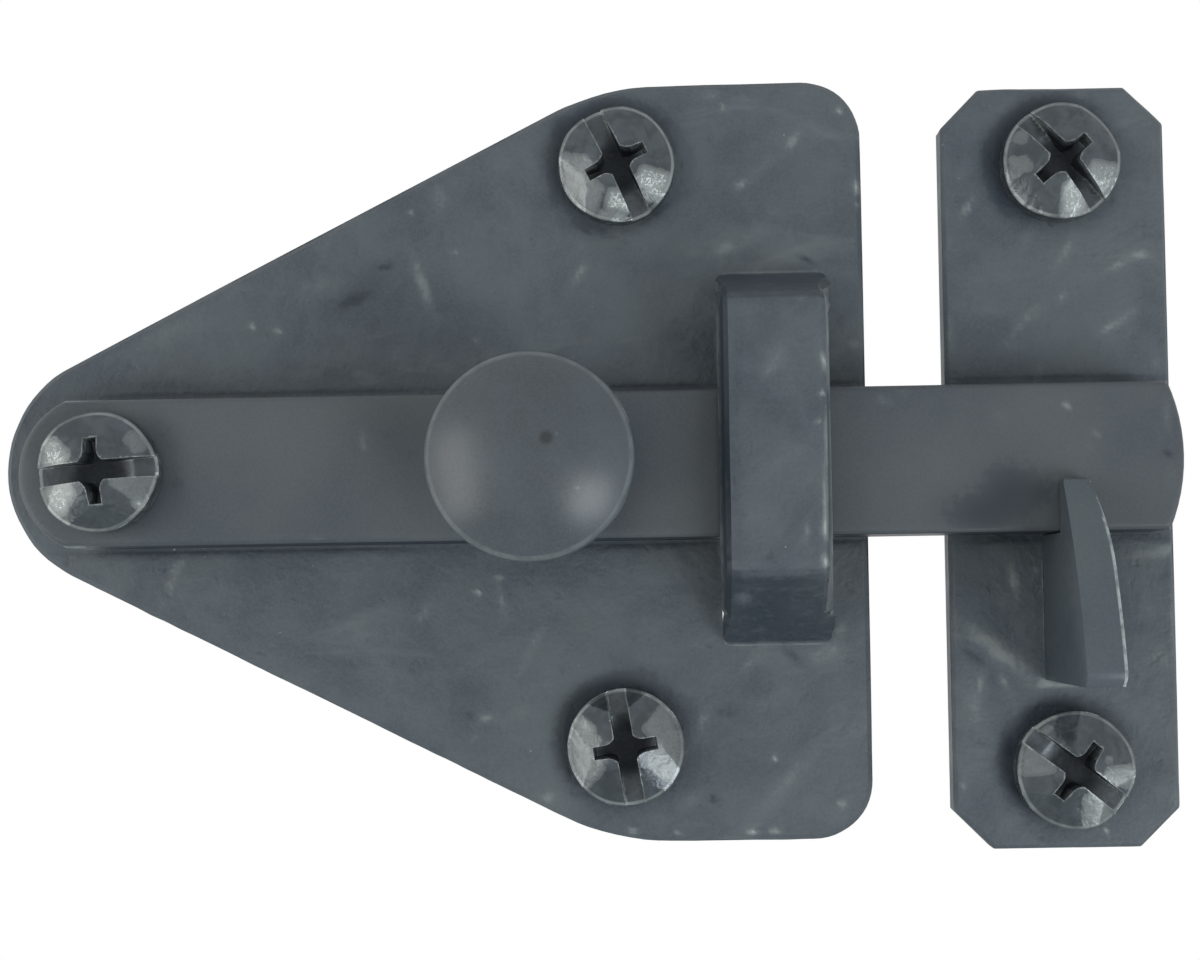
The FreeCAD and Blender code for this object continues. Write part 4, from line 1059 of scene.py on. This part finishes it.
class LATCH_OT_screws(bpy.types.Operator):
    """Finish the five screws and cut their threads"""

    bl_idname = "latch.screws"
    bl_label = "Screws"

    def execute(self, context):
        sizes, colours, _ = settings()
        material = oxide_black("screw_oxide", tuple(colours.screw), tuple(colours.bright))
        for node in SCREWS:
            shape = copy_of(node)
            ease(shape, sizes.head_ease)
            slice_front(shape, sizes.head_grid, -0.5)
            note_edges(shape)
            _, middle, radius = head_of(node)
            note_rim(shape, middle, radius)
            self.note_facet_highlights(shape, node)
            self.hollow(shape, node, sizes)
            finished(node + "_dressed", shape, material, node)
            self.thread(node, sizes, material)
        return {"FINISHED"}

    def note_facet_highlights(self, shape, node):
        """Let each point of the head carry the painted facet highlights that it lies in, with soft outlines."""
        soft, head_depth = 0.5, 1.5 * MM
        front, middle, _ = head_of(node)
        layer = shape.verts.layers.float.new("mark")
        for vert in shape.verts:
            if vert.co.y > front + head_depth:
                continue
            x, z = (vert.co.x - middle.x) / MM, (vert.co.z - middle.z) / MM
            away, angle = math.hypot(x, z), math.degrees(math.atan2(z, x))
            for turn, half, inner, outer, amount in HEAD_FACET_HIGHLIGHTS[node]:
                aside = abs((angle - turn + 180) % 360 - 180)
                share = amount
                for inside in (math.radians(half - aside) * away, away - inner, outer - away):
                    share *= clamp(0.5 + inside / soft)
                vert[layer] = max(vert[layer], share)

    def hollow(self, shape, node, sizes):
        """Sink and darken the cross, and make the facets uneven."""
        head_depth, slot_depth, slot_end, cross_reach = 2.2 * MM, 0.4 * MM, 0.93, 1.3 * MM
        low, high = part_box(node)
        across, up = (low.x + high.x) / 2, (low.z + high.z) / 2
        radius = (high.x - low.x) / 2
        dome = (radius**2 + sizes.head_fall**2) / (2 * sizes.head_fall)
        layer = shape.verts.layers.float["mark"]
        moves = []
        for vert in shape.verts:
            away = math.hypot(vert.co.x - across, vert.co.z - up)
            if away > radius * 1.01 or vert.co.y > low.y + head_depth:
                continue
            below = vert.co.y - low.y - (dome - math.sqrt(max(0.0, dome**2 - away**2)))
            if below > slot_depth and away < radius * slot_end:
                deep = clamp(1.75 - away / cross_reach)
                vert[layer] = -0.25 - 0.75 * deep
                if vert.normal.y < -0.7:
                    moves.append((vert, Vector((0, sizes.recess_depth * deep, 0))))
            elif vert.normal.y < -0.5:
                swell = 0.5 + 0.8 * noise.noise(vert.co * HEAD_WAVE)
                moves.append((vert, vert.normal * (-sizes.head_wave * clamp(swell))))
        shift(moves)

    def thread(self, node, sizes, material):
        """A helical ridge from behind the plate to the point, that sinks into the core at both ends."""
        low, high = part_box(node)
        across, up = (low.x + high.x) / 2, (low.z + high.z) / 2
        start, finish = 1.6 * MM, high.y - 0.9 * MM
        sunk, least, thinnest = 0.02 * MM, 0.03 * MM, 0.02
        core = sizes.thread_core - 0.05 * MM
        crest = sizes.thread_core + sizes.thread_height
        half, run_out = sizes.thread_pitch * 0.26, sizes.thread_pitch * 0.8
        shape = bmesh.new()
        profile = [(core, -half), (crest, -half * 0.2), (crest, half * 0.2), (core, half)]
        verts = [shape.verts.new((across + reach, start + along, up)) for reach, along in profile]
        face = shape.faces.new(verts)
        turns = (finish - start) / sizes.thread_pitch
        steps = int(turns * sizes.thread_steps)
        swing = math.tau * turns
        bmesh.ops.spin(
            shape, geom=[face] + list(face.edges) + verts, cent=(across, 0, up), axis=(0, 1, 0),
            dvec=(0, (finish - start) / steps, 0), angle=swing, steps=steps,
        )
        for vert in shape.verts:
            out = Vector((vert.co.x - across, 0, vert.co.z - up))
            taper = min(1.0, (high.y - vert.co.y) / sizes.point_length)
            ends = min(vert.co.y - start, finish - vert.co.y) / run_out
            ridge = (out.length - core) * clamp(ends, thinnest) * (0.35 + 0.65 * taper)
            reach = max(least, core * taper + ridge - sunk)
            vert.co += out.normalized() * (reach - out.length)
        bmesh.ops.recalc_face_normals(shape, faces=shape.faces)
        note_edges(shape)
        finished(node + "_thread", shape, material, body=BODY_OF[node])


class LATCH_OT_stage(bpy.types.Operator):
    """Set the floor, the lamps, the sky and the camera"""

    bl_idname = "latch.stage"
    bl_label = "Stage"

    def execute(self, context):
        _, colours, stage = settings()
        scene = context.scene
        self.floor(scene, stage, tuple(colours.floor))
        self.sky(scene, stage)
        key = self.lamp(scene, "key_lamp", (0.62, -0.65, -0.45), (0.20, 0.20), stage.key_light)
        fill = self.lamp(scene, "fill_lamp", (-0.84, -0.55, -0.12), (0.22, 0.40), stage.fill_light)
        key.color, fill.color = stage.key_tint, stage.fill_tint
        self.camera(scene, stage)
        scene.view_settings.view_transform = "Standard"
        return {"FINISHED"}

    def floor(self, scene, stage, colour):
        shape = bmesh.new()
        bmesh.ops.create_grid(shape, x_segments=2, y_segments=2, size=stage.floor_size / 2)
        bmesh.ops.translate(shape, verts=shape.verts, vec=(FLOOR_ACROSS, 0, stage.floor_drop))
        mesh = bpy.data.meshes.new("floor")
        shape.to_mesh(mesh)
        shape.free()
        finish = Finish("floor_pale")
        finish.set("Base Color", colour)
        finish.set("Roughness", 0.9)
        mesh.materials.append(finish.material)
        floor = bpy.data.objects.new("floor", mesh)
        scene.collection.objects.link(floor)

    def sky(self, scene, stage):
        """White to the camera and in reflections, and an even light on everything else."""
        world = bpy.data.worlds.new("soft_sky")
        scene.world = world
        world.use_nodes = True
        tree = world.node_tree
        tree.nodes.clear()
        output = tree.nodes.new("ShaderNodeOutputWorld")
        path = tree.nodes.new("ShaderNodeLightPath")
        seen = path.outputs["Is Camera Ray"]
        for name in ("Is Glossy Ray", "Is Transmission Ray"):
            either = tree.nodes.new("ShaderNodeMath")
            either.operation = "MAXIMUM"
            tree.links.new(seen, either.inputs[0])
            tree.links.new(path.outputs[name], either.inputs[1])
            seen = either.outputs[0]
        even, white = tree.nodes.new("ShaderNodeBackground"), tree.nodes.new("ShaderNodeBackground")
        even.inputs["Strength"].default_value = stage.world_light
        even.inputs["Color"].default_value = (*stage.sky_tint, 1)
        white.inputs["Color"].default_value = (1, 1, 1, 1)
        mix = tree.nodes.new("ShaderNodeMixShader")
        tree.links.new(seen, mix.inputs[0])
        tree.links.new(even.outputs[0], mix.inputs[1])
        tree.links.new(white.outputs[0], mix.inputs[2])
        tree.links.new(mix.outputs[0], output.inputs["Surface"])

    def lamp(self, scene, name, way, size, power):
        """A rectangular lamp that stands along the given way from the latch and looks at it."""
        data = bpy.data.lights.new(name, "AREA")
        data.shape = "RECTANGLE"
        data.size, data.size_y = size
        data.energy = power
        lamp = bpy.data.objects.new(name, data)
        way = Vector(way).normalized()
        lamp.location = Vector(LAMP_AIM) + way * LAMP_DISTANCE
        lamp.rotation_euler = way.to_track_quat("Z", "Y").to_euler()
        scene.collection.objects.link(lamp)
        return data

    def camera(self, scene, stage):
        data = bpy.data.cameras.new("camera")
        data.sensor_width = 36
        data.lens = stage.lens
        data.shift_x = stage.shift_across
        data.shift_y = stage.shift_up
        data.clip_start = 0.005
        camera = bpy.data.objects.new("camera", data)
        turn = Matrix.Rotation(-stage.yaw, 4, "Z") @ Matrix.Rotation(math.pi / 2 + stage.pitch, 4, "X")
        turn @= Matrix.Rotation(stage.roll, 4, "Z")
        camera.matrix_world = Matrix.Translation(stage.camera_place) @ turn
        scene.collection.objects.link(camera)
        scene.camera = camera


class LATCH_PT_parts(bpy.types.Panel):
    """The latch's pieces and their settings"""

    bl_idname = "LATCH_PT_parts"
    bl_label = "Cabinet Latch"
    bl_space_type = "VIEW_3D"
    bl_region_type = "UI"
    bl_category = "Latch"

    def draw(self, context):
        for operator in OPERATORS:
            self.layout.operator(operator.bl_idname)
        for group, kind in zip(settings(), GROUPS):
            for name in kind.__annotations__:
                self.layout.prop(group, name)


OPERATORS = (LATCH_OT_plates, LATCH_OT_bar, LATCH_OT_knob, LATCH_OT_catch, LATCH_OT_screws, LATCH_OT_stage)
GROUPS = (LatchSizes, LatchColours, LatchStage)


def register():
    for kind in (*GROUPS, *OPERATORS, LATCH_PT_parts):
        bpy.utils.register_class(kind)
    bpy.types.Scene.latch_sizes = PointerProperty(type=LatchSizes)
    bpy.types.Scene.latch_colours = PointerProperty(type=LatchColours)
    bpy.types.Scene.latch_stage = PointerProperty(type=LatchStage)


def unregister():
    for name in ("latch_sizes", "latch_colours", "latch_stage"):
        delattr(bpy.types.Scene, name)
    for kind in reversed((*GROUPS, *OPERATORS, LATCH_PT_parts)):
        bpy.utils.unregister_class(kind)


def main():
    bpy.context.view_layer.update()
    register()
    bpy.ops.latch.plates()
    bpy.ops.latch.bar()
    bpy.ops.latch.knob()
    bpy.ops.latch.catch()
    bpy.ops.latch.screws()
    bpy.ops.latch.stage()


if __name__ == "__main__":
    main()
